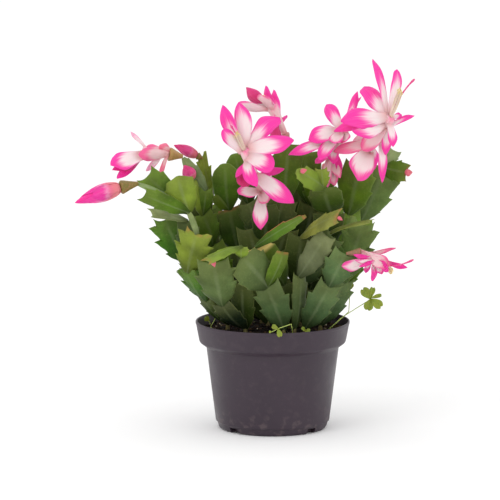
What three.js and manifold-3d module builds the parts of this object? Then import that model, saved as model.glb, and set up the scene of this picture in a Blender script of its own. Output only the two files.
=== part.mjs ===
// A christmas cactus (Schlumbergera) in bloom, standing in a dark plastic nursery pot.
// Millimetres, +Z up, the front looks towards -Y. The origin is the middle of the pot's foot.
import * as THREE from "three";
import { mergeVertices } from "three/addons/utils/BufferGeometryUtils.js";
import Module from "manifold-3d";

const wasm = await Module();
wasm.setup();

// The pot
const RIM_RADIUS = 65;
const POT_HEIGHT = 91;
const BAND_HEIGHT = 17.5;
const BAND_BOTTOM = POT_HEIGHT - BAND_HEIGHT;
const BAND_LOW_RADIUS = 62;
const BAND_SLOPE = 4.2;
const BODY_TOP_RADIUS = 56;
const BODY_LOW_RADIUS = 48.2;
const BODY_LOW_Z = 7;
const FOOT_RADIUS = 45.5;
const FOOT_STEP = 1.4;
const FOOT_RING_WIDTH = 5;
const FOOT_ROUNDING = 1.2;
const WALL = 1.5;
const FLOOR_BOTTOM = 1.5;
const FLOOR_TOP = FLOOR_BOTTOM + WALL;
const ROUND_SIDES = 36;
const DRAIN_SLOTS = 4;
const DRAIN_SLOT_WIDTH = 9;
const DRAIN_SLOT_TOP = 4.5;

// The soil, and how the stems stand in it
const CLEARANCE = 0.4;
const SOIL_EDGE_Z = 81.5;
const SOIL_RADIUS = 60.9;
const SOIL_RINGS = [1, 0.55, 0];
const SOIL_MIDDLE_RISE = 2.5;
const SOIL_BUMP = 0.7;
const ROOT_BOTTOM = 68;
const ROOT_TOP = 89;
const ROOT_RADIUS = 2.8;
const ROOT_TAPER = 0.8;
const ROOT_SIDES = 6;
const ROOT_HOLE_RADIUS = (ROOT_RADIUS + CLEARANCE) / Math.cos(Math.PI / ROOT_SIDES);

// The pads, which are flat stem pieces with toothed edges
const PAD_RIB_HALF_THICKNESS = 1.35;
const PAD_EDGE_HALF_THICKNESS = 0.4;
const PAD_ARCH = 0.05;
const PAD_NECK = -0.05;
const PAD_NECK_HALF_THICKNESS = 0.8;
const PAD_END = 0.985;
const PAD_END_HALF = 0.24;
const PAD_RIB = [0.5];
const PAD_OUTLINES = {
  toothed: [
    [PAD_NECK, 0.1], [0.16, 0.58], [0.36, 1.0], [0.43, 0.83], [0.67, 1.07], [0.74, 0.82], [1.05, 0.66],
    [PAD_END, PAD_END_HALF],
  ],
  slanted: [
    [PAD_NECK, 0.1], [0.14, 0.55], [0.3, 0.95], [0.39, 0.8], [0.58, 1.05], [0.67, 0.86], [1.04, 0.7],
    [PAD_END, PAD_END_HALF],
  ],
  rounded: [[PAD_NECK, 0.1], [0.16, 0.56], [0.38, 0.94], [0.68, 1.02], [0.95, 0.62], [PAD_END, PAD_END_HALF]],
};

// The petals and the parts of a bloom
const PETAL_HALF_THICKNESS = 0.36;
const PETAL_CUP = 0.16;
const PETAL_BULGE = 0.16;
const PETAL_BEND_AT = 0.4;
const PETAL_RIB = [0.55];
const PETAL_OUTLINE = [[-0.05, 0.12], [0.45, 0.66], [0.77, 0.92], [1, 0]];
const PETAL_ROOT_DEPTH = 0.9;
const TUBE_RADIUS = 2.7;
const THROAT_RADIUS = 4.4;
const OVARY_RADIUS = 3.5;
const STAMEN_RADIUS = 0.45;
const STAMEN_SPREAD = 2.6;
const STAMEN_COUNT = 4;
const ANTHER_RADIUS = 0.8;
const STIGMA_RADIUS = 0.9;
const COLLAR_RADIUS = 1.9;
const COLLAR_HEIGHT = 2;
const COLLAR_GAP = 0.4;
const SEED_GAP = 0.35;

// Every stem: where it stands in the soil (x, y), and its pads. A pad's row has the pad that it grows
// from (-1 is the root), its tip (x, y, z), its width, the direction its face looks in (azimuth from
// the front and elevation, in degrees), and 1 where its outline is rounded.
const STEMS = {
  front_middle: { root: [9, -34], pads: [
    [-1, -5, -50, 128, 29, -10, 8],
    [0, -22, -66, 156, 29, -12, 30],
    [0, 8, -56, 158, 17, 35, 5],
    [1, -54, -86, 155, 23, -10, 72],
  ] },
  front_left: { root: [-23, -26], pads: [
    [-1, -25, -38, 127, 20, -30, 0],
    [-1, -42, -46, 112, 22, -25, 20],
    [1, -50, -70, 151, 31, -8, 8, 1],
  ] },
  left_low: { root: [-38, -6], pads: [
    [-1, -56, -22, 112, 18, -50, 10],
    [0, -71, -36, 138, 22, -45, 20],
    [1, -67, -48, 174, 30, -12, 5],
    [2, -71, -44, 190, 14, 70, 10],
    [3, -111, -62, 216, 32, -15, -15],
    [3, -78, -42, 216, 25, 8, 0],
  ] },
  left_far: { root: [-28, 8], pads: [
    [-1, -51, 2, 115, 20, -30, 0],
    [0, -71, -2, 141, 22, -30, 5],
    [1, -90, -8, 178, 27, -10, 0],
    [1, -72, -14, 178, 18, 0, 10],
    [3, -101, -26, 186, 18, 0, 65],
  ] },
  left_up: { root: [-19, 14], pads: [
    [-1, -40, 18, 118, 22, 30, 0],
    [0, -51, 16, 153, 24, -20, 0],
    [1, -59, 2, 181, 20, 20, 0],
    [2, -65, -14, 212, 20, 50, 0],
    [1, -53, 29, 181, 18, 0, 0],
    [4, -54, 29, 212, 18, 78, 0],
    [2, -75, -8, 231, 22, -10, -50],
    [4, -59, 8, 233, 15, 50, 10],
  ] },
  middle_left: { root: [-9, 24], pads: [
    [-1, -21, 30, 114, 22, 20, 0],
    [0, -30, 28, 147, 24, -25, 0],
    [1, -37, 14, 184, 23, 10, 0],
    [2, -37, -5, 224, 20, -5, 0, 1],
    [1, -20, 38, 184, 22, 40, 0],
    [4, -32, 30, 229, 20, -20, 0, 1],
  ] },
  centre: { root: [-4, 0], pads: [
    [-1, -7, 0, 121, 22, 15, 0],
    [0, -6, -8, 158, 24, 0, 0],
    [1, -6, -22, 192, 22, 0, 0],
    [1, 10, -6, 194, 24, 0, 0],
    [3, 14, -2, 241, 24, -5, 0],
  ] },
  front_centre: { root: [4, -14], pads: [
    [-1, 9, -24, 126, 22, 0, 0],
    [0, 4, -42, 164, 24, 12, 10],
    [1, 26, -62, 188, 17, 35, 35],
  ] },
  right_front: { root: [18, -30], pads: [
    [-1, 22, -38, 135, 17, 45, 0],
    [0, 32, -54, 161, 24, -15, 5],
    [0, 46, -44, 171, 22, -10, 10],
  ] },
  right_lean: { root: [27, -28], pads: [
    [-1, 47, -46, 128, 24, 8, 8],
    [0, 60, -57, 156, 25, 5, 5],
  ] },
  right_low: { root: [40, -12], pads: [
    [-1, 60, -28, 129, 22, 20, 0],
    [0, 79, -22, 178, 28, -8, 0],
  ] },
  right_middle: { root: [15, -4], pads: [
    [-1, 20, -10, 124, 22, -15, 0],
    [0, 24, -28, 166, 24, 0, 0],
    [1, 53, -62, 188, 20, 0, 45],
    [0, 38, -18, 146, 20, 0, 0],
    [3, 44, -32, 168, 16, 0, 20],
    [4, 80, -42, 181, 17, 0, 80],
  ] },
  right_inner: { root: [23, 4], pads: [
    [-1, 32, 2, 118, 22, 10, 0],
    [0, 41, -4, 153, 22, 0, 0],
    [1, 49, -18, 185, 22, -10, 0],
    [2, 38, -40, 209, 26, -8, 10, 1],
    [3, 19, -54, 224, 17, 0, 35],
  ] },
  right_high: { root: [28, 14], pads: [
    [-1, 42, 22, 119, 24, 25, 0],
    [0, 58, 22, 150, 26, -25, 0],
    [1, 64, 8, 181, 22, 15, 0],
    [2, 72, -14, 224, 29, -5, 0],
  ] },
  right_far: { root: [38, 26], pads: [
    [-1, 57, 36, 115, 24, 35, 0],
    [0, 70, 34, 145, 26, -20, 0],
    [1, 74, 20, 172, 20, 15, 0],
    [2, 93, 6, 221, 30, 12, 0],
    [3, 112, -4, 217, 17, 0, 15],
    [3, 103, 16, 233, 14, -30, 0],
  ] },
  centre_right: { root: [15, 30], pads: [
    [-1, 18, 36, 120, 22, 30, 0],
    [0, 26, 37, 154, 24, -25, 0],
    [1, 33, 24, 186, 22, 20, 0],
    [2, 28, 20, 231, 22, -15, 0],
    [2, 42, 2, 214, 20, 0, 0],
  ] },
  back_left: { root: [-24, 32], pads: [
    [-1, -36, 46, 118, 23, 130, 0],
    [0, -44, 52, 150, 25, 190, 10],
    [1, -54, 48, 182, 24, 140, 0],
    [1, -56, 76, 168, 24, 150, 20],
  ] },
  back_middle: { root: [0, 42], pads: [
    [-1, -4, 56, 118, 23, 200, 10],
    [0, -8, 66, 150, 26, 165, 10],
    [1, -2, 62, 186, 24, 215, 0],
    [1, -18, 90, 170, 24, 170, 25],
  ] },
  back_right: { root: [31, 38], pads: [
    [-1, 40, 56, 118, 23, 215, 10],
    [0, 46, 58, 150, 26, 165, 5],
    [1, 56, 54, 184, 24, 220, 0],
    [1, 46, 82, 172, 24, 200, 20],
  ] },
};

// Every bloom: the pad tip it grows from, where its seed base ends, and its throat; the middle of its
// stamens' tips and the tip of its style; the direction the flower looks in; and its petals. A petal's row
// has how far along the tube it grows (0 to 1), its tip (x, y, z) and its width.
const BLOOMS = {
  front: {
    line: [[-6, -22, 192], [-8, -31, 201], [-24, -52, 243]],
    stamens: [-30, -72, 262], style: [-34, -78, 272], looks: [-0.3, -0.85, 0.4],
    petals: [
      [0.3, 15, -50, 197, 15], [0.14, -30, -54, 204, 11], [0.05, -9, -46, 176, 13], [0.4, 9, -30, 225, 6],
      [0.75, -14, -64, 214, 12], [0.7, -26, -70, 213, 12], [0.85, 0, -58, 228, 16], [1, 17, -58, 249, 16],
      [1, 4, -42, 270, 15], [1, -28, -44, 282, 14], [1, -42, -54, 280, 11], [1, -43, -68, 259, 13],
    ] },
  behind: {
    line: [[14, -2, 241], [10, -3, 250], [-1, -8, 273]],
    stamens: [-8, -19, 280], style: [-12, -24, 283], looks: [-0.85, -0.35, -0.3],
    petals: [
      [1, -22, -12, 288, 13], [1, -26, -24, 277, 10], [1, -20, 6, 280, 9], [0.7, -7, 8, 289, 8],
      [0.4, 11, 6, 265, 6], [0.5, 2, -20, 249, 11], [0.6, -9, -28, 261, 9], [0.8, -4, 16, 283, 9],
    ] },
  top: {
    line: [[72, -14, 224], [75, -17, 232], [98, -26, 267]],
    stamens: [105, -36, 289], style: [116, -40, 298], looks: [0.35, -0.8, 0.45],
    petals: [
      [1, 83, -8, 313, 8], [1, 104, -16, 305, 9], [1, 76, -2, 290, 16], [1, 58, -42, 265, 16],
      [1, 70, -52, 254, 15], [0.9, 119, -10, 267, 4], [0.85, 100, -38, 243, 6], [1, 108, -14, 268, 6],
      [0.2, 71, -40, 215, 18], [0.6, 90, -36, 211, 9], [0.3, 86, -16, 224, 9], [0.15, 50, -34, 239, 12],
      [0.3, 70, -6, 242, 7],
    ] },
  inner: {
    line: [[42, 2, 214], [45, -4, 223], [59, -20, 254]],
    stamens: [64, -26, 274], style: [66, -28, 282], looks: [-0.15, -0.85, 0.45],
    petals: [
      [1, 44, -4, 275, 13], [1, 71, -4, 287, 6], [1, 74, 6, 282, 5], [1, 28, -38, 248, 15],
      [0.85, 14, -46, 240, 10], [0.9, 37, -48, 233, 12], [0.7, 50, -38, 228, 7], [0.6, 57, -26, 219, 4],
      [0.2, 44, -28, 209, 9], [0.25, 51, -24, 206, 9], [0.2, 34, -12, 222, 9], [1, 51, -46, 253, 11],
      [1, 58, -46, 247, 8],
    ] },
  left: {
    line: [[-75.3, -8.5, 231.4], [-87, -13, 234], [-108, -20, 237]],
    stamens: [-122, -21, 238], style: [-127, -22, 238], looks: [-0.75, -0.6, -0.1],
    petals: [
      [0.1, -110, -30, 239, 14], [0, -95, -12, 243, 5], [0.1, -93, -18, 216, 5], [0.3, -107, -12, 218, 7],
      [1, -135, -32, 224, 15], [1, -128, -26, 216, 11], [0.9, -118, -10, 252, 5], [1, -134, -10, 229, 12],
      [0.1, -109, -8, 237, 12],
    ] },
  right: {
    line: [[60.3, -57.5, 156.8], [73, -59, 158], [90, -62, 150]],
    stamens: [99, -64, 143], style: [117, -66, 154], looks: [0.7, -0.65, -0.25],
    petals: [
      [0.35, 100, -62, 163, 5], [0.2, 56, -66, 145, 13], [0.7, 67, -74, 157, 8], [0.75, 69, -72, 150, 7],
      [0.6, 81, -64, 136, 5], [0.8, 88, -58, 139, 8], [0.9, 96, -74, 147, 11], [1, 111, -57, 147, 5],
      [0.5, 94, -52, 154, 9], [0.4, 78, -44, 143, 9],
    ] },
};

// Every bud: its foot on the pad, its tip, its greatest radius, and where its seed base ends if it shows one.
const BUDS = {
  left_long: { from: [-111, -62, 216], seed: [-127, -66, 213], to: [-163, -74, 202], radius: 6.6 },
  left_upper: { from: [-61.5, 6.5, 235], seed: [-68, 4, 237], to: [-83, 0, 241], radius: 4.2 },
  left_round: { from: [-65.3, -14.4, 212.2], to: [-74, -17, 222], radius: 4.8 },
  front_left: { from: [-50, -86, 153], to: [-48, -87, 149], radius: 2 },
  right_front: { from: [54, -63, 188], to: [58, -64, 184], radius: 2.2 },
  right_inner: { from: [21.1, -54.6, 224.5], to: [27, -56, 226], radius: 2.4 },
  right_far: { from: [112.2, -4, 217], to: [118, -6, 218], radius: 2.6 },
  back_left: { from: [-55.8, 75.6, 167.7], to: [-62, 86, 176], radius: 4 },
  back_middle: { from: [-17.8, 89.6, 169.7], to: [-22, 101, 177], radius: 3.4 },
};

// The weeds that came up in the pot: each has stalks as lists of points, the first of which starts in the
// soil, and leaflets, each with its foot, its tip and its width.
const WEED_BOTTOM = 76;
const STALK_RADIUS = 0.5;
const WEED_HOLE_RADIUS = STALK_RADIUS + CLEARANCE + 0.1;
const LEAFLET_HALF_THICKNESS = 0.35;
const LEAFLET_OUTLINE = [[0, 0.1], [0.6, 1], [1, 0.5], [0.9, 0]];
const WEEDS = {
  sprig_right: {
    stalks: [
      [[46, -22, WEED_BOTTOM], [46, -22, 86], [57, -24, 97], [82, -24, 113]],
      [[46, -22, 86], [64, -10, 100], [65, -11, 117]],
    ],
    leaflets: [
      [[82, -24, 113], [76, -24, 121], 10], [[82, -24, 113], [83, -22, 121], 5],
      [[82, -24, 113], [90, -26, 115.5], 3], [[82, -24, 113], [81, -29, 106], 7.5],
      [[82, -24, 113], [89, -28, 108], 6.5], [[65, -11, 117], [65, -11, 122], 4],
    ],
  },
  sprig_front: {
    stalks: [
      [[17, -50, WEED_BOTTOM], [17, -50, 86], [15, -60, 98], [4, -68, 95.5]],
      [[4, -68, 95.5], [-1, -69, 93]],
    ],
    leaflets: [
      [[4, -68, 95.5], [-2, -69, 98], 5], [[4, -68, 95.5], [6, -70, 88], 5.5],
      [[-1, -69, 93], [-5, -69, 93], 3.5],
    ],
  },
  seedling_left: {
    stalks: [[[-52, 3, WEED_BOTTOM], [-52, 3, 86], [-54, -1, 91.5]], [[-52, 3, 85.5], [-48, 4, 92.5]]],
    leaflets: [[[-54, -1, 91], [-57, -3, 94], 5], [[-48, 4, 92], [-45, 4, 95.5], 3.5]],
  },
  seedling_front: {
    stalks: [[[26, -48, WEED_BOTTOM], [26, -48, 86], [27, -51, 90.5]]],
    leaflets: [[[27, -51, 90.5], [31, -53, 91], 4], [[27, -51, 90.5], [24, -53, 94], 3]],
  },
};

const vector = (p) => new THREE.Vector3(...p);

/** A closed geometry as a solid that can be joined and cut. */
function solidOf(geometry) {
  const plain = geometry.clone();
  plain.deleteAttribute("normal");
  plain.deleteAttribute("uv");
  const merged = mergeVertices(plain, 1e-4);
  return new wasm.Manifold(new wasm.Mesh({
    numProp: 3,
    vertProperties: new Float32Array(merged.attributes.position.array),
    triVerts: new Uint32Array(merged.index.array),
  }));
}

/** The largest single body of a solid: what a cut leaves loose is dropped. */
function mainBody(solid) {
  const bodies = solid.decompose();
  return bodies.reduce((a, b) => (a.volume() >= b.volume() ? a : b));
}

function geometryOf(solid) {
  const mesh = solid.getMesh();
  const geometry = new THREE.BufferGeometry();
  geometry.setAttribute("position", new THREE.BufferAttribute(new Float32Array(mesh.vertProperties), 3));
  geometry.setIndex(new THREE.BufferAttribute(new Uint32Array(mesh.triVerts), 1));
  geometry.computeVertexNormals();
  return geometry;
}

function joined(solids) {
  return solids.reduce((a, b) => a.add(b));
}

/** A turned solid from [radius, height] pairs that start and end on the axis, standing along +Z. */
function turned(profile, sides) {
  const points = profile.map(([r, z]) => new THREE.Vector2(r, z));
  return new THREE.LatheGeometry(points, sides).rotateX(Math.PI / 2);
}

/** The same solid moved so that its axis runs from one point towards another. */
function aimed(geometry, from, to) {
  const way = to.clone().sub(from).normalize();
  const turn = new THREE.Quaternion().setFromUnitVectors(new THREE.Vector3(0, 0, 1), way);
  return geometry.applyQuaternion(turn).translate(from.x, from.y, from.z);
}

/** A rod between two points. */
function rod(from, to, radiusFrom, radiusTo, sides) {
  const length = from.distanceTo(to);
  return aimed(turned([[0, 0], [radiusFrom, 0], [radiusTo, length], [0, length]], sides), from, to);
}

/** Triangles (as a flat list of coordinates) as a solid. */
function solidOfTriangles(positions) {
  const geometry = new THREE.BufferGeometry();
  geometry.setAttribute("position", new THREE.Float32BufferAttribute(positions, 3));
  return solidOf(geometry);
}

/**
 * The triangles of a thin blade. Its sides are lists of [along, across] from foot to tip, its rib has the
 * points along the midline between them, and place(along, across, face) gives the point in space. Both
 * faces are split into the same triangles, so a bent blade never crosses itself. The foot or the end
 * stays open where another blade goes on from it.
 */
function bladeTriangles(leftSide, rightSide, rib, place, openFoot, openEnd) {
  const positions = [];
  const triangle = (...corners) => corners.forEach((corner) => positions.push(...corner));
  for (const [side, sign] of [[leftSide, 1], [rightSide, -1]]) {
    const foot = [side[0][0], 0];
    const pointed = side.at(-1)[1] === 0;
    const end = pointed ? [] : [[side.at(-1)[0], 0]];
    const outline = [foot, ...side, ...end, ...rib.map((u) => [u, 0])];
    const points = outline.map(([u, v]) => [1, -1].map((face) => place(u, sign * v, face)));
    const contour = outline.map(([u, v]) => new THREE.Vector2(u, v));
    for (const corners of THREE.ShapeUtils.triangulateShape(contour, [])) {
      const [a, b, c] = sign > 0 ? corners : corners.toReversed();
      triangle(points[a][0], points[b][0], points[c][0]);
      triangle(points[a][1], points[c][1], points[b][1]);
    }
    const last = pointed ? side.length : side.length + 1;
    for (let i = openFoot ? 1 : 0; i < (openEnd ? last - 1 : last); i += 1) {
      const [a, b] = sign > 0 ? [i, i + 1] : [i + 1, i];
      triangle(points[a][0], points[b][0], points[b][1]);
      triangle(points[a][0], points[b][1], points[a][1]);
    }
  }
  return positions;
}

/**
 * One pad from its joint to its tip, arched a little, thick at its rib and thin at its edges. Where it
 * goes straight on from the pad or root below, it shares that one's end, and else it has its own neck.
 */
function padShape([, tx, ty, tz, width, azimuth, elevation, rounded], below) {
  const tip = vector([tx, ty, tz]);
  const along = tip.clone().sub(below.tip);
  const length = along.length();
  along.normalize();
  const az = THREE.MathUtils.degToRad(azimuth);
  const el = THREE.MathUtils.degToRad(elevation);
  const facing = new THREE.Vector3(Math.sin(az) * Math.cos(el), -Math.cos(az) * Math.cos(el), Math.sin(el));
  const normal = facing.addScaledVector(along, -facing.dot(along)).normalize();
  const across = normal.clone().cross(along);
  const turnedOver = across.dot(below.across) < 0 ? -1 : 1;
  across.multiplyScalar(turnedOver);
  normal.multiplyScalar(turnedOver);
  const straight = along.dot(below.along) > below.leastStraight && across.dot(below.across) > 0.5;
  const shares = straight && !below.followed;
  if (shares) below.followed = true;
  const place = (u, v, face) => {
    if (shares && u === PAD_NECK) return below.endPoint(Math.sign(v), face);
    const thin = Math.min(1, Math.abs(v));
    const body = PAD_RIB_HALF_THICKNESS + (PAD_EDGE_HALF_THICKNESS - PAD_RIB_HALF_THICKNESS) * thin;
    const half = u < 0 ? PAD_NECK_HALF_THICKNESS : body;
    const arch = turnedOver * PAD_ARCH * length * 4 * u * (1 - u);
    const p = below.tip.clone().addScaledVector(along, u * length).addScaledVector(across, v * width / 2);
    return p.addScaledVector(normal, face * half + arch).toArray();
  };
  const shape = {
    tip, along, across, leastStraight: 0.83, followed: false, follows: shares ? below : null,
    endPoint: (side, face) => place(PAD_END, side * PAD_END_HALF, face),
  };
  const [left, right] = rounded ? ["rounded", "rounded"] : ["toothed", "slanted"];
  shape.triangles = () =>
    bladeTriangles(PAD_OUTLINES[left], PAD_OUTLINES[right], PAD_RIB, place, shares, shape.followed);
  return shape;
}

/** The woody root of a stem: a six-sided rod whose upper end is the first pad's foot. */
function rootShape([x, y], across) {
  const along = new THREE.Vector3(0, 0, 1);
  const normal = along.clone().cross(across);
  const tip = vector([x, y, ROOT_TOP]);
  const point = (side, face, z, radius) => {
    const turn = (side * Math.PI) / 3;
    const p = new THREE.Vector3(x, y, z).addScaledVector(across, Math.sin(turn) * radius);
    return p.addScaledVector(normal, face * Math.cos(turn) * radius).toArray();
  };
  const round = [[0, 1], [1, 1], [1, -1], [0, -1], [-1, -1], [-1, 1]];
  const triangles = () => {
    const low = round.map(([side, face]) => point(side, face, ROOT_BOTTOM, ROOT_RADIUS));
    const high = round.map(([side, face]) => point(side, face, ROOT_TOP, ROOT_TAPER * ROOT_RADIUS));
    const positions = [];
    const triangle = (...corners) => corners.forEach((corner) => positions.push(...corner));
    for (let i = 0; i < round.length; i += 1) {
      const j = (i + 1) % round.length;
      triangle(low[j], low[i], high[i]);
      triangle(low[j], high[i], high[j]);
    }
    for (let i = 1; i + 1 < round.length; i += 1) triangle(low[0], low[i], low[i + 1]);
    return positions;
  };
  const endPoint = (side, face) => point(side, face, ROOT_TOP, ROOT_TAPER * ROOT_RADIUS);
  return { tip, along, across, leastStraight: -1, followed: false, follows: null, endPoint, triangles };
}

/** One petal: its midline leaves the tube towards where the flower looks, and then bends over to its tip. */
function petal(foot, tip, looks, outward, width) {
  const reach = foot.distanceTo(tip);
  const bend = foot.clone().lerp(tip, PETAL_BEND_AT).addScaledVector(looks, PETAL_BULGE * reach);
  const midline = new THREE.QuadraticBezierCurve3(foot, bend, tip);
  const across = looks.clone().cross(outward).normalize();
  const place = (u, v, face) => {
    const t = Math.min(1, Math.max(0, u));
    const tangent = midline.getTangent(t);
    const normal = across.clone().cross(tangent).normalize();
    const p = midline.getPoint(t).addScaledVector(tangent, (u - t) * reach);
    p.addScaledVector(across, -v * width / 2);
    return p.addScaledVector(normal, face * PETAL_HALF_THICKNESS + PETAL_CUP * width * v * v).toArray();
  };
  return solidOfTriangles(bladeTriangles(PETAL_OUTLINE, PETAL_OUTLINE, PETAL_RIB, place, false, false));
}

const coloured = (color, roughness) => new THREE.MeshStandardMaterial({ color, roughness, metalness: 0 });

const materials = {
  pot: () => coloured(0x453c44, 0.6),
  soil: () => coloured(0x241a14, 1),
  pads: () => coloured(0x53742c, 0.5),
  petals: () => coloured(0xf268b4, 0.55),
  seedBase: () => coloured(0x8a8a3a, 0.5),
  stamens: () => coloured(0xf3e2c4, 0.6),
  weed: () => coloured(0x93a83c, 0.6),
};

const group = new THREE.Group();

function addMesh(name, solid, material) {
  const mesh = new THREE.Mesh(geometryOf(solid), material());
  mesh.name = name;
  group.add(mesh);
}

// The pot's inside, as [radius, height] from the rim down to the middle of its floor.
const POT_INSIDE = [
  [RIM_RADIUS - WALL, POT_HEIGHT], [BAND_LOW_RADIUS - WALL, BAND_BOTTOM + WALL / 2],
  [BODY_TOP_RADIUS - WALL, BAND_BOTTOM - BAND_SLOPE + WALL / 2], [FOOT_RADIUS - WALL, FLOOR_TOP],
  [0, FLOOR_TOP],
];

/** The nursery pot: a thin tapered cup with a wide band at its rim, a stepped foot and drain slots. */
function potSolid() {
  const ringInner = FOOT_RADIUS - FOOT_RING_WIDTH;
  const outside = [
    [0, FLOOR_BOTTOM], [ringInner, FLOOR_BOTTOM], [ringInner + FOOT_ROUNDING, 0],
    [FOOT_RADIUS - FOOT_ROUNDING, 0], [FOOT_RADIUS, FOOT_ROUNDING],
    [BODY_LOW_RADIUS - FOOT_STEP, BODY_LOW_Z - FOOT_STEP], [BODY_LOW_RADIUS, BODY_LOW_Z],
    [BODY_TOP_RADIUS, BAND_BOTTOM - BAND_SLOPE], [BAND_LOW_RADIUS, BAND_BOTTOM], [RIM_RADIUS, POT_HEIGHT],
  ];
  let pot = solidOf(turned([...outside, ...POT_INSIDE], ROUND_SIDES));
  for (let i = 0; i < DRAIN_SLOTS; i += 1) {
    const slot = new THREE.BoxGeometry(2 * DRAIN_SLOT_TOP, DRAIN_SLOT_WIDTH, 2 * DRAIN_SLOT_TOP);
    slot.translate(FOOT_RADIUS, 0, 0).rotateZ((2 * Math.PI * (i + 0.5)) / DRAIN_SLOTS);
    pot = pot.subtract(solidOf(slot));
  }
  return pot;
}

/** The height of the soil at a place: level at the wall, a little higher in the middle, and lumpy. */
function soilHeight(x, y) {
  const r = Math.hypot(x, y) / RIM_RADIUS;
  const lumps = Math.sin(x * 0.31 + 1.3) * Math.cos(y * 0.27) + 0.6 * Math.sin(x * 0.13 - y * 0.36);
  return SOIL_EDGE_Z + SOIL_MIDDLE_RISE * (1 - r * r) + SOIL_BUMP * lumps;
}

/** The potting soil: it fills the pot and has a plain hole for every root. */
function soilSolid(holes) {
  const [, band, step, floor] = POT_INSIDE;
  const below = [floor, step, band].map(([r, z]) => [r - CLEARANCE, z + CLEARANCE]);
  const bottom = [0, FLOOR_TOP + CLEARANCE];
  const top = SOIL_RINGS.map((share) => [share * SOIL_RADIUS, SOIL_EDGE_Z]);
  const geometry = turned([bottom, ...below, ...top], ROUND_SIDES);
  const position = geometry.attributes.position;
  for (let i = 0; i < position.count; i += 1) {
    const x = position.getX(i);
    const y = position.getY(i);
    if (position.getZ(i) > SOIL_EDGE_Z - 0.1) position.setZ(i, soilHeight(x, y));
  }
  let soil = solidOf(geometry);
  for (const { at: [x, y], from, radius } of holes) {
    const hole = rod(vector([x, y, from]), vector([x, y, POT_HEIGHT]), radius, radius, ROOT_SIDES);
    soil = soil.subtract(solidOf(hole));
  }
  return soil;
}

/** One stem: its woody root and all its pads in one body. */
function stemSolid({ root, pads }) {
  const [, tx, ty, tz, , azimuth] = pads[0];
  const turn = THREE.MathUtils.degToRad(azimuth);
  const across = new THREE.Vector3(-Math.cos(turn), -Math.sin(turn), 0);
  const woody = rootShape(root, across);
  const shapes = pads.reduce((made, row) => [...made, padShape(row, row[0] < 0 ? woody : made[row[0]])], []);
  const chains = new Map([[woody, [woody]]]);
  for (const shape of shapes) {
    const chain = shape.follows ? chains.get(shape.follows) : [];
    chain.push(shape);
    chains.set(shape, chain);
  }
  const bodies = [...new Set(chains.values())];
  return joined(bodies.map((chain) => solidOfTriangles(chain.flatMap((shape) => shape.triangles()))));
}

/** A seed base (ovary): a small top shape between the pad's tip and the flower's tube. */
function seedBase(from, to, grown) {
  const way = to.clone().sub(from).normalize();
  const start = from.clone().addScaledVector(way, SEED_GAP - grown);
  const length = from.distanceTo(to) - SEED_GAP + 2 * grown;
  const r = OVARY_RADIUS + grown;
  const profile = [[0, 0], [0.45 * r, 0], [r, 0.6 * length], [0.75 * r, length], [0, length]];
  return solidOf(aimed(turned(profile, 7), start, to));
}

/** A flower's tube with all its petals in one body. */
function petalsSolid({ line, looks, petals }) {
  const [padTip, seed, throat] = line.map(vector);
  const axis = throat.clone().sub(seed).normalize();
  const facing = vector(looks).normalize();
  const length = seed.distanceTo(throat);
  const profile = [
    [0, 0], [0.8 * TUBE_RADIUS, 0], [TUBE_RADIUS, 0.3 * length], [THROAT_RADIUS, length], [0, length],
  ];
  const solids = [solidOf(aimed(turned(profile, 6), seed, throat))];
  for (const [share, x, y, z, width] of petals) {
    const centre = seed.clone().lerp(throat, share);
    const tip = vector([x, y, z]);
    const away = tip.clone().sub(centre);
    const offAxis = away.clone().addScaledVector(axis, -away.dot(axis)).normalize();
    const outward = away.addScaledVector(facing, -away.dot(facing)).normalize();
    const ring = TUBE_RADIUS + (THROAT_RADIUS - TUBE_RADIUS) * share - PETAL_ROOT_DEPTH;
    const foot = centre.addScaledVector(offAxis, ring).addScaledVector(axis, -PETAL_ROOT_DEPTH);
    solids.push(petal(foot, tip, facing, outward, width));
  }
  return mainBody(joined(solids).subtract(seedBase(padTip, seed, SEED_GAP)));
}

/** The stamens and the style, standing on a small collar in the throat. */
function stamensSolid({ line, stamens, style }) {
  const [, seed, throat] = line.map(vector);
  const axis = throat.clone().sub(seed).normalize();
  const collarFoot = throat.clone().addScaledVector(axis, COLLAR_GAP);
  const collarTop = collarFoot.clone().addScaledVector(axis, COLLAR_HEIGHT);
  const solids = [solidOf(rod(collarFoot, collarTop, COLLAR_RADIUS, 0.8 * COLLAR_RADIUS, 6))];
  const inside = collarFoot.clone().lerp(collarTop, 0.6);
  const side = new THREE.Vector3(0, 0, 1).cross(axis).normalize();
  const other = axis.clone().cross(side);
  for (let i = 0; i < STAMEN_COUNT; i += 1) {
    const turn = (2 * Math.PI * i) / STAMEN_COUNT + 0.4;
    const off = side.clone().multiplyScalar(Math.cos(turn)).addScaledVector(other, Math.sin(turn));
    const foot = inside.clone().addScaledVector(off, 1);
    const tip = vector(stamens).addScaledVector(off, STAMEN_SPREAD * (0.6 + 0.2 * (i % 3)));
    solids.push(solidOf(rod(foot, tip, STAMEN_RADIUS, ANTHER_RADIUS, 3)));
  }
  const styleTip = vector(style);
  solids.push(solidOf(rod(inside, styleTip, STAMEN_RADIUS, STIGMA_RADIUS, 4)));
  return joined(solids);
}

/** A closed bud: round below and drawn out to a blunt point. */
function budSolid(from, to, radius, gap) {
  const way = to.clone().sub(from).normalize();
  const length = from.distanceTo(to) - gap;
  const start = from.clone().addScaledVector(way, gap);
  const profile = [[0, 0], [0.5 * radius, 0], [radius, 0.4 * length], [0.3 * radius, length], [0, length]];
  return solidOf(aimed(turned(profile, 7), start, to));
}

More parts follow.
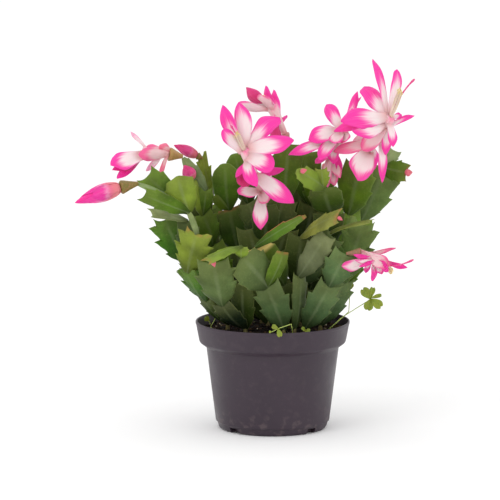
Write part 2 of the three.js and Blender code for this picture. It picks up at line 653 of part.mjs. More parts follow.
/** One leaflet: notched at its end like a heart, and folded a little along its middle. */
function leafletSolid([from, to, width]) {
  const foot = vector(from);
  const along = vector(to).sub(foot);
  const length = along.length();
  along.normalize();
  const facing = new THREE.Vector3(0, -1, 0.4);
  const normal = facing.addScaledVector(along, -facing.dot(along)).normalize();
  const across = normal.clone().cross(along);
  const place = (u, v, face) => {
    const p = foot.clone().addScaledVector(along, u * length).addScaledVector(across, v * width / 2);
    return p.addScaledVector(normal, face * LEAFLET_HALF_THICKNESS + 0.1 * width * Math.abs(v)).toArray();
  };
  return solidOfTriangles(bladeTriangles(LEAFLET_OUTLINE, LEAFLET_OUTLINE, [], place, false, false));
}

/** One weed: its thin stalks, each a run of rods, and its leaflets. */
function weedSolid({ stalks, leaflets }) {
  const solids = leaflets.map(leafletSolid);
  for (const points of stalks) {
    for (let i = 0; i + 1 < points.length; i += 1) {
      const from = vector(points[i]);
      const to = vector(points[i + 1]);
      const past = to.clone().addScaledVector(to.clone().sub(from).normalize(), 0.3);
      solids.push(solidOf(rod(from, past, STALK_RADIUS, STALK_RADIUS, 4)));
    }
  }
  return joined(solids);
}

addMesh("pot", potSolid(), materials.pot);

const rootHoles = Object.values(STEMS).map(({ root }) => (
  { at: root, from: ROOT_BOTTOM - CLEARANCE, radius: ROOT_HOLE_RADIUS }
));
const weedHoles = Object.values(WEEDS).map(({ stalks: [[at]] }) => (
  { at, from: WEED_BOTTOM - CLEARANCE, radius: WEED_HOLE_RADIUS }
));
addMesh("soil", soilSolid([...rootHoles, ...weedHoles]), materials.soil);

for (const [name, stem] of Object.entries(STEMS)) {
  addMesh(`stem_${name}`, stemSolid(stem), materials.pads);
}

for (const [name, bloom] of Object.entries(BLOOMS)) {
  const [padTip, seed] = bloom.line.map(vector);
  addMesh(`bloom_${name}_petals`, petalsSolid(bloom), materials.petals);
  addMesh(`bloom_${name}_seed_base`, seedBase(padTip, seed, 0), materials.seedBase);
  addMesh(`bloom_${name}_stamens`, stamensSolid(bloom), materials.stamens);
}

for (const [name, { from, seed, to, radius }] of Object.entries(BUDS)) {
  const foot = vector(seed ?? from);
  addMesh(`bud_${name}`, budSolid(foot, vector(to), radius, SEED_GAP), materials.petals);
  if (seed) addMesh(`bud_${name}_seed_base`, seedBase(vector(from), foot, 0), materials.seedBase);
}

for (const [name, weed] of Object.entries(WEEDS)) {
  addMesh(`weed_${name}`, weedSolid(weed), materials.weed);
}

export default group;
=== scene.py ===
"""A christmas cactus in bloom in a dark nursery pot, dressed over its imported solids.

Places and sizes are millimetres in the part's own frame (+Z up, front towards -Y) and are turned into metres
as they reach a mesh.
"""

import logging
import math
import random
from dataclasses import dataclass, field
from enum import Enum
from functools import reduce
from typing import Callable, NamedTuple, Sequence

import bpy
from mathutils import Matrix, Vector, noise

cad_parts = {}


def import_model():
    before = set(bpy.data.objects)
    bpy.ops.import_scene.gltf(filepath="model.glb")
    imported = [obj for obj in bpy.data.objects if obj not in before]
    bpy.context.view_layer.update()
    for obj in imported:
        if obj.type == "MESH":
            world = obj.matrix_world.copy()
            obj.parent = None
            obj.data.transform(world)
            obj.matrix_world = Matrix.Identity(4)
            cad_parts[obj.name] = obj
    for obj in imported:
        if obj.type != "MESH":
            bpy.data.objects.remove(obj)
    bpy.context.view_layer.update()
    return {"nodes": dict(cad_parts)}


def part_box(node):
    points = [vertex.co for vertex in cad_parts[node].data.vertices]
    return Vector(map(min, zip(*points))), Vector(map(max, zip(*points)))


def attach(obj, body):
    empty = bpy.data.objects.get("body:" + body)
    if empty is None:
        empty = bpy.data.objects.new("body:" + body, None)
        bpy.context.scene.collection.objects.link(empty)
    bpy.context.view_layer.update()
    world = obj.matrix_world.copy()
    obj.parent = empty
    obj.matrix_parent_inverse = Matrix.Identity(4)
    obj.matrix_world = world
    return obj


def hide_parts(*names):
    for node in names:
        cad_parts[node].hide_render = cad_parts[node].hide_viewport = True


log = logging.getLogger("christmas_cactus")

MM = 0.001
NEXT_TURN = 2.4  # radians from one stamen or outer petal to the next
BODY = "root"
Point = tuple[float, float, float]
Place = Callable[[float, float, float], Vector]  # the place in millimetres for a lattice point's numbers


def linear(code: str) -> Point:
    """A colour written as six hexadecimal digits, as linear red, green and blue.

    Args:
        code: The digits, such as "ff8800".

    Returns:
        The three linear values.
    """
    shares = (int(code[i : i + 2], 16) / 255 for i in (0, 2, 4))
    return tuple(s / 12.92 if s <= 0.04045 else ((s + 0.055) / 1.055) ** 2.4 for s in shares)


class Tone(Enum):
    """The greens that the pads have: the low old ones are greyer, the ones in the light yellower."""

    GREEN = linear("5a781c")
    RICH = linear("41700f")
    FRESH = linear("849c34")
    GREY = linear("5a7040")
    DULL = linear("4d6138")
    # painted shade: a dark green for the low pads and the pads inside the plant, where shade falls
    DEEP = linear("2d3f13")
    MOSS = linear("425c1c")
    # painted shade: a near-black green for the low pads at the rim that sit in deep shade
    SHADED = linear("1a261b")
    OLIVE = linear("8e9848")
    PALE = linear("8c9d66")
    SAGE = linear("6a8240")
    ASHEN = linear("7c8058")


class Edge(Enum):
    """How a pad's edge is cut."""

    TOOTHED = "toothed"
    HORNED = "horned"
    SPIKED = "spiked"
    SCALLOPED = "scalloped"
    TAPERED = "tapered"
    ROUNDED = "rounded"
    POINTED = "pointed"
    STRAP = "strap"


class End(Enum):
    """How the end of a pad has healed, as a number that the pads' finish reads."""

    GREEN = 0.0
    BLUSHED = 0.4
    RED = 1.0
    DRIED = 2.0


class Silk(Enum):
    """How a petal is coloured, as (how far the pink reaches in, how dark, how salmon)."""

    INNER = (0.0, 0.0, 0.0)
    ROSY = (0.35, 0.0, 0.0)
    HOT = (0.8, 0.1, 0.0)
    DARK = (0.9, 0.8, 0.0)
    SALMON = (0.25, 0.0, 0.7)
    WHITE = (-0.2, 0.0, 0.1)
    PALE = (0.1, -0.5, 0.0)
    FADED = (0.1, 0.0, 0.45)
    BEIGE = (-0.35, 0.0, 0.4)
    CRIMSON = (0.9, 0.5, 0.2)
    CORAL = (0.62, 0.05, 0.4)
    BUD_RED = (1.0, 0.7, 0.05)
    SCAR = (0.5, 0.4, 1.0)
    TUBE = (-0.5, 0.0, 0.3)


class Pad(NamedTuple):
    """One pad: the pad it grows from (-1 is the root), its tip, its width, the azimuth and elevation that its
    face looks in, its colour, its edge, and how its end has healed."""

    below: int
    tip: Point
    width: float
    looks: tuple[float, float]
    tone: Tone = Tone.GREEN
    edge: Edge = Edge.TOOTHED
    end: End = End.GREEN


class Stem(NamedTuple):
    """One stem: where it stands in the soil, and its pads."""

    root: tuple[float, float]
    pads: Sequence[Pad]


class Petal(NamedTuple):
    """One petal: how far along the tube it grows, its tip, its width, its colour, how blunt its end is from 0
    to 1, whether its foot is on the side of the tube that the flower looks to (1) or behind it (-1), and how
    many of its own widths its end leans to one side."""

    share: float
    tip: Point
    width: float
    tone: Silk = Silk.INNER
    blunt: float = 0.0
    front: float = 1.0
    lean: float = 0.0


class Bloom(NamedTuple):
    """One flower: the pad tip it grows from, the end of its seed base, its throat, the middle of its stamens'
    tips, the tip of its style, the way that it looks, the seed base's colour, its petals, and the seed
    base's radius."""

    foot: Point
    seed: Point
    throat: Point
    stamens: Point
    style: Point
    looks: Point
    seed_tone: str
    petals: Sequence[Petal]
    seed_radius: float = 3.8


class Bud(NamedTuple):
    """One closed bud: its foot, its tip, its greatest radius, its colour, and where it has a seed base, that
    base's end and radius."""

    foot: Point
    tip: Point
    radius: float
    tone: Silk
    seed: Point | None = None
    seed_radius: float = 3.8


class Weed(NamedTuple):
    """One small weed: its stalks as lists of points, and its leaflets as (foot, tip, width)."""

    stalks: Sequence[Sequence[Point]]
    leaflets: Sequence[tuple[Point, Point, float]]


STEMS = {
    "front_middle": Stem((9, -34), (
        Pad(-1, (-5, -50, 128), 28, (-10, 8), Tone.DULL, Edge.HORNED),
        Pad(0, (-26, -66, 155), 33, (-12, 30), Tone.GREY, Edge.POINTED),
        Pad(0, (8, -56, 158), 16, (35, 5), Tone.GREEN, Edge.SCALLOPED, End.BLUSHED),
        Pad(1, (-26, -69, 164), 13, (-10, 20), Tone.FRESH),
        Pad(3, (-54, -86, 155), 16, (-10, 78), Tone.FRESH, Edge.TOOTHED, End.BLUSHED),
    )),
    "front_left": Stem((-23, -26), (
        Pad(-1, (-25, -38, 127), 23, (-30, 0), Tone.DEEP),
        Pad(-1, (-42, -46, 112), 22, (-35, 10), Tone.SHADED),
        Pad(1, (-49, -70, 151), 34, (-8, 8), Tone.GREY, Edge.HORNED),
    )),
    "left_low": Stem((-38, -6), (
        Pad(-1, (-56, -22, 112), 20, (-50, 10), Tone.DEEP),
        Pad(0, (-71, -36, 138), 24, (-45, 20), Tone.RICH, Edge.SPIKED),
        Pad(1, (-63, -48, 172), 30, (-12, 5), Tone.FRESH, Edge.SPIKED, End.BLUSHED),
        Pad(2, (-70, -46, 190), 5, (-10, 10), Tone.PALE, Edge.STRAP),
        Pad(3, (-106, -60, 206.2), 17, (-15, -15), Tone.GREEN),
        Pad(3, (-79, -54, 221), 26, (8, 0), Tone.FRESH, Edge.POINTED),
        Pad(3, (-111.4, -62.6, 215.4), 5.5, (-10, 40), Tone.PALE, Edge.STRAP),
        Pad(3, (-104, -46, 220), 24, (-15, -10), Tone.GREEN),
    )),
    "left_far": Stem((-28, 8), (
        Pad(-1, (-51, 2, 115), 22, (-30, 0), Tone.DEEP),
        Pad(0, (-71, -2, 141), 25, (-30, 5), Tone.RICH, Edge.SPIKED),
        Pad(1, (-90, -8, 178), 29, (-10, 0), Tone.RICH, Edge.SPIKED),
        Pad(1, (-72, -14, 178), 20, (0, 10), Tone.DULL),
        Pad(3, (-101, -26, 186), 18, (0, 65), Tone.PALE),
    )),
    "left_up": Stem((-19, 14), (
        Pad(-1, (-40, 18, 118), 26, (30, 0), Tone.DEEP),
        Pad(0, (-51, 16, 153), 28, (-20, 0), Tone.GREEN),
        Pad(1, (-59, 2, 181), 22, (20, 0), Tone.GREEN),
        Pad(2, (-65, -14, 212), 20, (50, 0), Tone.FRESH),
        Pad(1, (-53, 29, 181), 20, (0, 0), Tone.GREEN),
        Pad(4, (-54, 29, 212), 18, (78, 0), Tone.DEEP),
        Pad(4, (-60, 6, 229), 12, (25, 10), Tone.FRESH, Edge.SPIKED),
        Pad(2, (-56, -12, 204), 14, (10, 0), Tone.GREEN),
        Pad(7, (-75, -9, 230.5), 13, (-10, -10), Tone.PALE, Edge.TAPERED),
        Pad(0, (-58, 20, 165), 22, (-10, 0), Tone.DEEP),
        Pad(1, (-63, 14, 190), 20, (0, 0), Tone.DEEP),
    )),
    "middle_left": Stem((-9, 24), (
        Pad(-1, (-21, 30, 114), 28, (20, 0), Tone.DEEP),
        Pad(0, (-30, 28, 147), 30, (-25, 0), Tone.DEEP),
        Pad(1, (-37, 14, 184), 25, (10, 0), Tone.MOSS, Edge.SCALLOPED, End.BLUSHED),
        Pad(2, (-40, -5, 225), 23, (-5, 0), Tone.GREEN, Edge.ROUNDED),
        Pad(1, (-20, 38, 184), 28, (40, 0), Tone.DEEP),
        Pad(4, (-32, 30, 229), 24, (-20, 0), Tone.GREEN, Edge.ROUNDED),
        Pad(2, (-47, 6, 198), 14, (0, 0), Tone.GREEN, Edge.SCALLOPED),
    )),
    "centre": Stem((-4, 0), (
        Pad(-1, (-7, 0, 121), 26, (15, 0), Tone.DEEP),
        Pad(0, (-6, -8, 158), 28, (0, 0), Tone.DEEP),
        Pad(1, (-6, -22, 192), 24, (0, 0), Tone.DEEP, Edge.SCALLOPED),
        Pad(1, (10, -6, 194), 28, (0, 0), Tone.DEEP),
        Pad(3, (14, -2, 241), 26, (-5, 0), Tone.GREEN, Edge.SCALLOPED),
        Pad(1, (-20, 6, 190), 24, (-15, 0), Tone.DEEP),
        Pad(0, (-20, -10, 170), 26, (0, 0), Tone.DEEP),
        Pad(0, (11, -12, 170), 26, (0, 0), Tone.DEEP),
    )),
    "front_centre": Stem((4, -14), (
        Pad(-1, (9, -24, 126), 24, (0, 0), Tone.DEEP),
        Pad(0, (-14, -48, 161), 27, (-5, 12), Tone.GREEN, Edge.SCALLOPED, End.DRIED),
        Pad(1, (27, -62, 189), 10.5, (20, 35), Tone.GREEN, Edge.TAPERED, End.RED),
    )),
    "right_front": Stem((18, -30), (
        Pad(-1, (22, -38, 135), 17, (45, 0), Tone.DULL),
        Pad(0, (44, -52, 171), 22, (-15, 8), Tone.ASHEN),
        Pad(0, (50, -42, 168), 24, (-10, 10), Tone.DULL),
    )),
    "right_lean": Stem((27, -28), (
        Pad(-1, (47, -46, 128), 25, (8, 8), Tone.DULL, Edge.HORNED),
        Pad(0, (60, -57, 156), 27, (5, 5), Tone.GREY, Edge.HORNED),
    )),
    "right_low": Stem((40, -12), (
        Pad(-1, (58.5, -28, 129), 24, (20, 0), Tone.DULL, Edge.HORNED),
        Pad(0, (75, -22, 176), 28, (-8, 0), Tone.SAGE, Edge.SPIKED),
    )),
    "right_middle": Stem((15, -4), (
        Pad(-1, (20, -10, 124), 26, (-15, 0), Tone.DEEP),
        Pad(0, (24, -28, 166), 28, (0, 0), Tone.DEEP),
        Pad(1, (53, -62, 188), 19, (0, 45), Tone.OLIVE, Edge.TOOTHED, End.BLUSHED),
        Pad(0, (38, -18, 146), 24, (0, 0), Tone.DULL),
        Pad(3, (44, -32, 168), 20, (0, 20), Tone.DULL),
        Pad(4, (80, -42, 181), 15, (0, 80), Tone.OLIVE),
    )),
    "right_inner": Stem((23, 4), (
        Pad(-1, (32, 2, 118), 26, (10, 0), Tone.DEEP),
        Pad(0, (41, -4, 153), 28, (0, 0), Tone.DEEP),
        Pad(1, (49, -18, 185), 28, (-10, 0), Tone.DEEP),
        Pad(2, (42, -40, 209), 29, (-8, 10), Tone.MOSS, Edge.SCALLOPED),
        Pad(3, (19, -54, 225), 18, (0, 30), Tone.FRESH, Edge.TAPERED),
        Pad(3, (40, -42, 225), 13, (0, 10), Tone.FRESH, Edge.HORNED),
    )),
    "right_high": Stem((28, 14), (
        Pad(-1, (42, 22, 119), 28, (25, 0), Tone.DEEP),
        Pad(0, (58, 22, 150), 30, (-25, 0), Tone.DEEP),
        Pad(1, (64, 8, 181), 26, (15, 0), Tone.GREEN),
        Pad(2, (72, -14, 224), 31, (-5, 0), Tone.GREEN, Edge.TOOTHED),
    )),
    "right_far": Stem((38, 26), (
        Pad(-1, (57, 36, 115), 24, (35, 0), Tone.DEEP),
        Pad(0, (70, 34, 145), 28, (-20, 0), Tone.GREEN),
        Pad(1, (74, 20, 172), 26, (15, 0), Tone.GREEN),
        Pad(2, (93, 6, 220), 34, (12, 0), Tone.SAGE, Edge.HORNED),
        Pad(3, (112, -4, 217), 19, (0, 15), Tone.GREEN, Edge.TOOTHED, End.BLUSHED),
        Pad(3, (103, 16, 233), 14, (-30, 0), Tone.PALE),
    )),
    "centre_right": Stem((15, 30), (
        Pad(-1, (18, 36, 120), 26, (30, 0), Tone.DEEP),
        Pad(0, (26, 37, 154), 28, (-25, 0), Tone.DEEP),
        Pad(1, (33, 24, 186), 27, (20, 0), Tone.DEEP),
        Pad(2, (28, 20, 231), 26, (-15, 0), Tone.GREEN, Edge.SCALLOPED),
        Pad(2, (42, 2, 214), 24, (0, 0), Tone.GREEN),
        Pad(1, (8, 34, 196), 26, (0, 0), Tone.DEEP),
        Pad(1, (21, 30, 202), 24, (0, 0), Tone.DEEP),
    )),
    "back_left": Stem((-24, 32), (
        Pad(-1, (-36, 46, 118), 23, (130, 0), Tone.DULL),
        Pad(0, (-44, 52, 150), 25, (190, 10), Tone.GREEN, Edge.HORNED),
        Pad(1, (-54, 48, 182), 24, (140, 0), Tone.GREEN),
        Pad(1, (-56, 76, 168), 24, (150, 20), Tone.FRESH, Edge.HORNED),
    )),
    "back_middle": Stem((0, 42), (
        Pad(-1, (-4, 56, 118), 23, (200, 10), Tone.DULL),
        Pad(0, (-8, 66, 150), 26, (165, 10), Tone.GREY, Edge.HORNED),
        Pad(1, (-2, 62, 186), 24, (215, 0), Tone.GREEN),
        Pad(1, (-18, 90, 170), 24, (170, 25), Tone.FRESH),
    )),
    "back_right": Stem((31, 38), (
        Pad(-1, (40, 56, 118), 23, (215, 10), Tone.DULL),
        Pad(0, (46, 58, 150), 26, (165, 5), Tone.GREEN, Edge.HORNED),
        Pad(1, (56, 54, 184), 24, (220, 0), Tone.GREEN),
        Pad(1, (46, 82, 172), 24, (200, 20), Tone.FRESH, Edge.HORNED, End.BLUSHED),
    )),
}

BLOOMS = {
    "front": Bloom(
        foot=(-6, -22, 192), seed=(-8, -31, 201), throat=(-24, -52, 243),
        stamens=(-30, -66, 258), style=(-35, -70, 265), looks=(-0.3, -0.85, 0.4), seed_tone="b9ae7a",
        petals=(
            Petal(1, (-41.5, -68, 260), 11, Silk.INNER, 0.4),
            Petal(1, (-42, -54, 280), 12, Silk.ROSY),
            Petal(1, (-28, -44, 282), 15, Silk.INNER),
            Petal(1, (2, -42, 272), 16, Silk.ROSY, 0.5, 1, 0.25),
            Petal(1, (17, -58, 249), 16, Silk.INNER),
            Petal(0.9, (1, -60, 229), 17, Silk.INNER, 0.5),
            Petal(0.85, (-14, -64, 213), 12, Silk.ROSY),
            Petal(0.8, (-31, -57, 220), 6, Silk.HOT),
            Petal(0.6, (-25, -60, 212), 14, Silk.DARK, 0.6, -1),
            Petal(0.5, (16, -50, 197), 16, Silk.INNER),
            Petal(0.4, (9, -34, 224), 7, Silk.HOT, 0, -1),
            Petal(0.12, (-29, -54, 205), 14, Silk.WHITE, 0.4),
            Petal(0.05, (-9, -46, 175), 13, Silk.WHITE),
            Petal(0.12, (-4, -51, 198), 11, Silk.BEIGE, 0.6),
        ),
    ),
    "behind": Bloom(
        foot=(14, -2, 241), seed=(10, -3, 250), throat=(-1, -8, 273),
        stamens=(-9, -12, 282), style=(-12, -14, 284), looks=(-0.55, -0.8, -0.1), seed_tone="c48a86",
        petals=(
            Petal(0.7, (-7, 2, 290), 10, Silk.ROSY, 0, -1),
            Petal(0.5, (-1, 8, 286), 9, Silk.ROSY, 0, -1),
            Petal(0.95, (-23, -8, 289), 13, Silk.CRIMSON, 0, -1),
            Petal(1, (-29, -14, 277), 9, Silk.WHITE),
            Petal(1, (-20, -2, 281), 10, Silk.ROSY),
            Petal(1, (-10, -20, 284), 14, Silk.BEIGE, 0.5),
            Petal(0.4, (11, 6, 265), 6, Silk.HOT, 0, 0),
            Petal(0.5, (4, -18, 244), 12, Silk.BUD_RED, 0.4),
            Petal(0.7, (1, -16, 262), 9, Silk.ROSY),
        ),
    ),
    "top": Bloom(
        foot=(72, -14, 224), seed=(75, -17, 232), throat=(98, -26, 267),
        stamens=(106, -36, 291), style=(117, -40, 300), looks=(0.35, -0.8, 0.45), seed_tone="c9a27c",
        petals=(
            Petal(1, (84, -8, 315), 8, Silk.ROSY, 0.3),
            Petal(1, (105, -16, 306), 9, Silk.INNER, 0.6),
            Petal(1, (77, -8, 292), 18, Silk.ROSY, 0.7),
            Petal(1, (56, -50, 269), 19, Silk.ROSY),
            Petal(1, (50, -36, 256.5), 11, Silk.ROSY, 0, -1),
            Petal(0.85, (66, -50, 259), 16, Silk.INNER, 0.2),
            Petal(0.7, (119, -10, 267), 5, Silk.ROSY, 0, 0),
            Petal(0.9, (99.5, -38, 243), 8, Silk.INNER),
            Petal(1, (108, -14, 268), 5, Silk.ROSY, 0, 0),
            Petal(0.55, (89.5, -36, 213), 8, Silk.INNER),
            Petal(0.8, (74, -32, 240), 14, Silk.BEIGE, 0.5),
            Petal(0.3, (84, -16, 222), 10, Silk.ROSY),
            Petal(0.45, (50, -32, 239), 11, Silk.FADED, 0.2),
            Petal(0.2, (66.5, -40, 217), 21, Silk.WHITE, 0.1, 1, 0.1),
            Petal(0.5, (66, -14, 246), 12, Silk.BEIGE, 0.3),
            Petal(0.8, (92, -32, 236), 9, Silk.INNER),
        ),
    ),
    "inner": Bloom(
        foot=(42, 2, 214), seed=(45, -4, 223), throat=(59, -20, 254),
        stamens=(63, -26, 268), style=(66, -28, 274), looks=(-0.15, -0.85, 0.45), seed_tone="c98a80",
        petals=(
            Petal(1, (45, -4, 276), 12, Silk.ROSY, 0.4, 1, -0.15),
            Petal(1, (71, -4, 287), 7, Silk.ROSY),
            Petal(1, (74, 6, 282), 5, Silk.ROSY),
            Petal(1, (29, -36, 248.5), 16, Silk.INNER),
            Petal(0.8, (12.5, -46, 236), 11, Silk.INNER),
            Petal(0.9, (38, -48, 232), 12, Silk.INNER),
            Petal(1, (50, -48, 246), 12, Silk.WHITE, 0.4),
            Petal(0.7, (50, -38, 228), 10, Silk.INNER),
            Petal(0.5, (57, -26, 219), 6, Silk.HOT),
            Petal(0.2, (51, -36, 209), 10, Silk.BEIGE),
            Petal(0.3, (45, -37, 208), 8, Silk.BEIGE),
            Petal(0.25, (57, -34, 216), 8, Silk.BEIGE),
            Petal(0.3, (35, -26, 227), 7, Silk.HOT),
            Petal(1, (60, -44, 247), 11, Silk.WHITE, 0.5),
        ),
    ),
    "left": Bloom(
        foot=(-75.3, -8.5, 231.4), seed=(-87, -13, 234), throat=(-108, -20, 237),
        stamens=(-112, -15, 234), style=(-116, -16, 234), looks=(-0.55, -0.8, 0.05), seed_tone="a58648",
        petals=(
            Petal(0.05, (-111, -31, 236), 12, Silk.FADED),
            Petal(0, (-95, -14, 241.5), 9, Silk.SALMON, 0, 0),
            Petal(0.1, (-94, -18, 216), 5, Silk.SALMON),
            Petal(0.3, (-105, -18, 220), 6, Silk.PALE),
            Petal(1, (-134, -34, 225), 18, Silk.INNER),
            Petal(1, (-133, -30, 221.5), 8, Silk.HOT),
            Petal(1, (-129, -30, 215), 9, Silk.ROSY),
            Petal(1, (-122, -28, 221), 7, Silk.FADED),
            Petal(0.9, (-119.5, -12, 253), 4, Silk.PALE, 0, 0),
            Petal(0.05, (-108, -14, 239), 11, Silk.FADED, 0, 0),
        ),
        seed_radius=5.6,
    ),
    "right": Bloom(
        foot=(60.3, -57.5, 156.8), seed=(73, -59, 158), throat=(90, -62, 150),
        stamens=(98, -66, 143), style=(116, -66, 153), looks=(0.7, -0.65, -0.25), seed_tone="8d6a4c",
        petals=(
            Petal(0.2, (101, -60, 163), 5.5, Silk.FADED),
            Petal(0.5, (57, -66, 145.5), 11, Silk.WHITE, 0.3),
            Petal(0.6, (66.5, -74, 158), 4.5, Silk.HOT),
            Petal(0.7, (68, -74, 153), 4, Silk.WHITE),
            Petal(0.8, (71, -72, 148), 4.5, Silk.HOT),
            Petal(0.6, (82, -64, 135), 9, Silk.ROSY, 0, 1, -0.2),
            Petal(0.7, (89, -62, 140), 9, Silk.WHITE),
            Petal(0.9, (96, -74, 146), 10, Silk.HOT),
            Petal(1, (111, -60, 145.5), 5, Silk.HOT),
            Petal(0.05, (97, -70, 150), 12, Silk.BEIGE, 0.3),
            Petal(0.4, (76, -56, 141), 7, Silk.INNER),
        ),
    ),
}

BUDS = {
    "left_long": Bud((-111, -62, 216), (-163, -74, 201.5), 7.0, Silk.HOT, (-126, -66, 213), 5.6),
    "left_upper": Bud((-58.5, 4, 228), (-83, 0, 240), 4.4, Silk.CRIMSON, (-63.5, 3.2, 230.5), 3.2),
    "left_round": Bud((-67, -14.4, 213), (-74.5, -17, 225), 5.5, Silk.CRIMSON),
    "front_left": Bud((-50, -86, 155.6), (-48, -87, 150), 2.2, Silk.SCAR),
    "right_front": Bud((53.2, -62.3, 188), (57.3, -64, 185.5), 1.7, Silk.SCAR),
    "right_inner": Bud((22.5, -54.6, 224.5), (28, -56, 226.5), 2.2, Silk.SCAR),
    "right_far": Bud((111, -5, 217), (117, -8, 218), 3.2, Silk.SCAR),
    "back_left": Bud((-55.8, 75.6, 167.7), (-62, 86, 176), 4, Silk.CORAL),
    "back_middle": Bud((-17.8, 89.6, 169.7), (-22, 101, 177), 3.4, Silk.CORAL),
}

WEEDS = {
    "sprig_right": Weed(
        (((46, -22, 76), (46, -22, 86), (57, -24, 97), (82, -24, 113)),
         ((46, -22, 86), (64, -10, 100), (65, -11, 119))),
        (((82, -24, 113), (75, -24, 122), 8), ((82, -24, 114), (84, -22, 123), 5),
         ((82, -24, 114), (91, -26, 117), 3.5), ((82, -24, 113), (79, -29, 104.5), 8),
         ((82, -24, 113), (91, -28, 107), 8), ((65, -11, 119), (66, -12, 125), 5)),
    ),
    "sprig_front": Weed(
        (((17, -50, 76), (17, -50, 86), (15, -60, 98), (4, -68, 95.5)), ((4, -68, 95.5), (-1, -69, 93))),
        (((4, -68, 95.5), (-1, -69, 98), 4.2), ((4, -68, 95.5), (6, -70, 89), 4.6),
         ((-1, -69, 93), (-3.5, -69, 93), 2.2)),
    ),
    "seedling_left": Weed(
        (((-52, 3, 76), (-52, 3, 86), (-54, -1, 91.5)), ((-52, 3, 85.5), (-48, 4, 92.5))),
        (((-54, -1, 91), (-57, -3, 94), 5), ((-48, 4, 92), (-45, 4, 95.5), 3.5)),
    ),
    "seedling_front": Weed(
        (((26, -48, 76), (26, -48, 86), (27, -51, 90.5)),),
        (((27, -51, 90.5), (31, -53, 91), 4), ((27, -51, 90.5), (24, -53, 94), 3)),
    ),
}


def pick(*things: bpy.types.Object) -> None:
    """Select some objects and nothing else, so that an operator acts only on them or on what it adds.

    Args:
        things: The objects, of which the first becomes the active one.
    """
    for thing in bpy.context.selected_objects:
        thing.select_set(False)
    for thing in things:
        thing.select_set(True)
    if things:
        bpy.context.view_layer.objects.active = things[0]


def smooth_step(low: float, high: float, value: float) -> float:
    """How far a value has come from one limit to another, eased at both ends.

    Args:
        low: The value that gives 0.
        high: The value that gives 1.
        value: The value.

    Returns:
        A share from 0 to 1.
    """
    share = min(1.0, max(0.0, (value - low) / (high - low)))
    return share * share * (3 - 2 * share)


def along_knots(knots: Sequence[tuple[float, float]], at: float) -> float:
    """The height of a smooth line through a few knots.

    Args:
        knots: The (place, height) pairs, in order.
        at: The place.

    Returns:
        The height there, by a cubic through the knots' own slopes.
    """
    if at <= knots[0][0]:
        return knots[0][1]
    if at >= knots[-1][0]:
        return knots[-1][1]
    i = max(j for j in range(len(knots) - 1) if knots[j][0] <= at)

    def slope(j: int) -> float:
        """The line's slope at one knot."""
        before, after = knots[max(0, j - 1)], knots[min(len(knots) - 1, j + 1)]
        return (after[1] - before[1]) / (after[0] - before[0])

    (x0, y0), (x1, y1) = knots[i], knots[i + 1]
    span = x1 - x0
    t = (at - x0) / span
    curve = (2 * t**3 - 3 * t**2 + 1) * y0 + (3 * t**2 - 2 * t**3) * y1
    return curve + span * ((t**3 - 2 * t**2 + t) * slope(i) + (t**3 - t**2) * slope(i + 1))


def square_to(axis: Vector, way: Vector) -> Vector:
    """The part of a way that is square to an axis, as a unit vector."""
    return (way - axis * way.dot(axis)).normalized()


def bezier(start: Vector, bend: Vector, end: Vector, t: float) -> tuple[Vector, Vector]:
    """A point on a curve with one bend, and the direction there.

    Args:
        start: Where the curve starts.
        bend: The point that pulls it.
        end: Where it ends.
        t: How far along, from 0 to 1.

    Returns:
        The point and the unit tangent.
    """
    point = start * (1 - t) ** 2 + bend * (2 * t * (1 - t)) + end * t**2
    tangent = (bend - start) * (2 * (1 - t)) + (end - bend) * (2 * t)
    return point, tangent.normalized()


class Lattice:
    """A mesh that is modelled once with operators, and that shaped copies are taken from.

    Each of its points keeps three numbers: how far along it is, how far across, and its side or height. They
    stay on every copy as the attribute "Leaf", where the finishes read them.
    """

    def __init__(self, source: bpy.types.Object, points: Sequence[Point]) -> None:
        """Keep the mesh of a modelled object, and drop the object.

        Args:
            source: The modelled object.
            points: The three numbers for each of its vertices.
        """
        self.mesh = source.data
        self.points = points
        marks = self.mesh.attributes.new("Leaf", "FLOAT_VECTOR", "POINT")
        marks.data.foreach_set("vector", [number for point in points for number in point])
        self.mesh.attributes.new("Tone", "FLOAT_COLOR", "POINT")
        bpy.data.objects.remove(source)

    def shaped(self, name: str, place: Place, tone: Sequence[float]) -> bpy.types.Object:
        """One copy of the lattice with every point moved to its place.

        Args:
            name: The copy's name.
            place: Gives the place in millimetres for the three numbers of a point.
            tone: Four numbers that the finish reads, the same on the whole copy.

        Returns:
            The new object.
        """
        mesh = self.mesh.copy()
        mesh.name = name
        flat: list[float] = []
        for point in self.points:
            flat.extend(place(*point) * MM)
        mesh.vertices.foreach_set("co", flat)
        mesh.attributes["Tone"].data.foreach_set("color", list(tone) * len(self.points))
        mesh.update()
        copy = bpy.data.objects.new(name, mesh)
        bpy.context.scene.collection.objects.link(copy)
        return copy


def sheet_lattice(along: int, across: int) -> Lattice:
    """A flat two-sided sheet, for pads, petals and leaflets.

    Args:
        along: How many strips it has from foot to tip.
        across: How many it has from edge to edge.

    Returns:
        The lattice, whose points are (0 to 1 along, -1 to 1 across, -1 or 1 for the side).
    """
    pick()
    bpy.ops.mesh.primitive_grid_add(x_subdivisions=across, y_subdivisions=along, size=2.0)
    sheet = bpy.context.object
    wall = sheet.modifiers.new("Wall", "SOLIDIFY")
    wall.thickness = 0.1
    wall.offset = 0.0
    bpy.ops.object.modifier_apply(modifier=wall.name)
    points = [((v.co.y + 1) / 2, v.co.x, math.copysign(1.0, v.co.z)) for v in sheet.data.vertices]
    return Lattice(sheet, points)


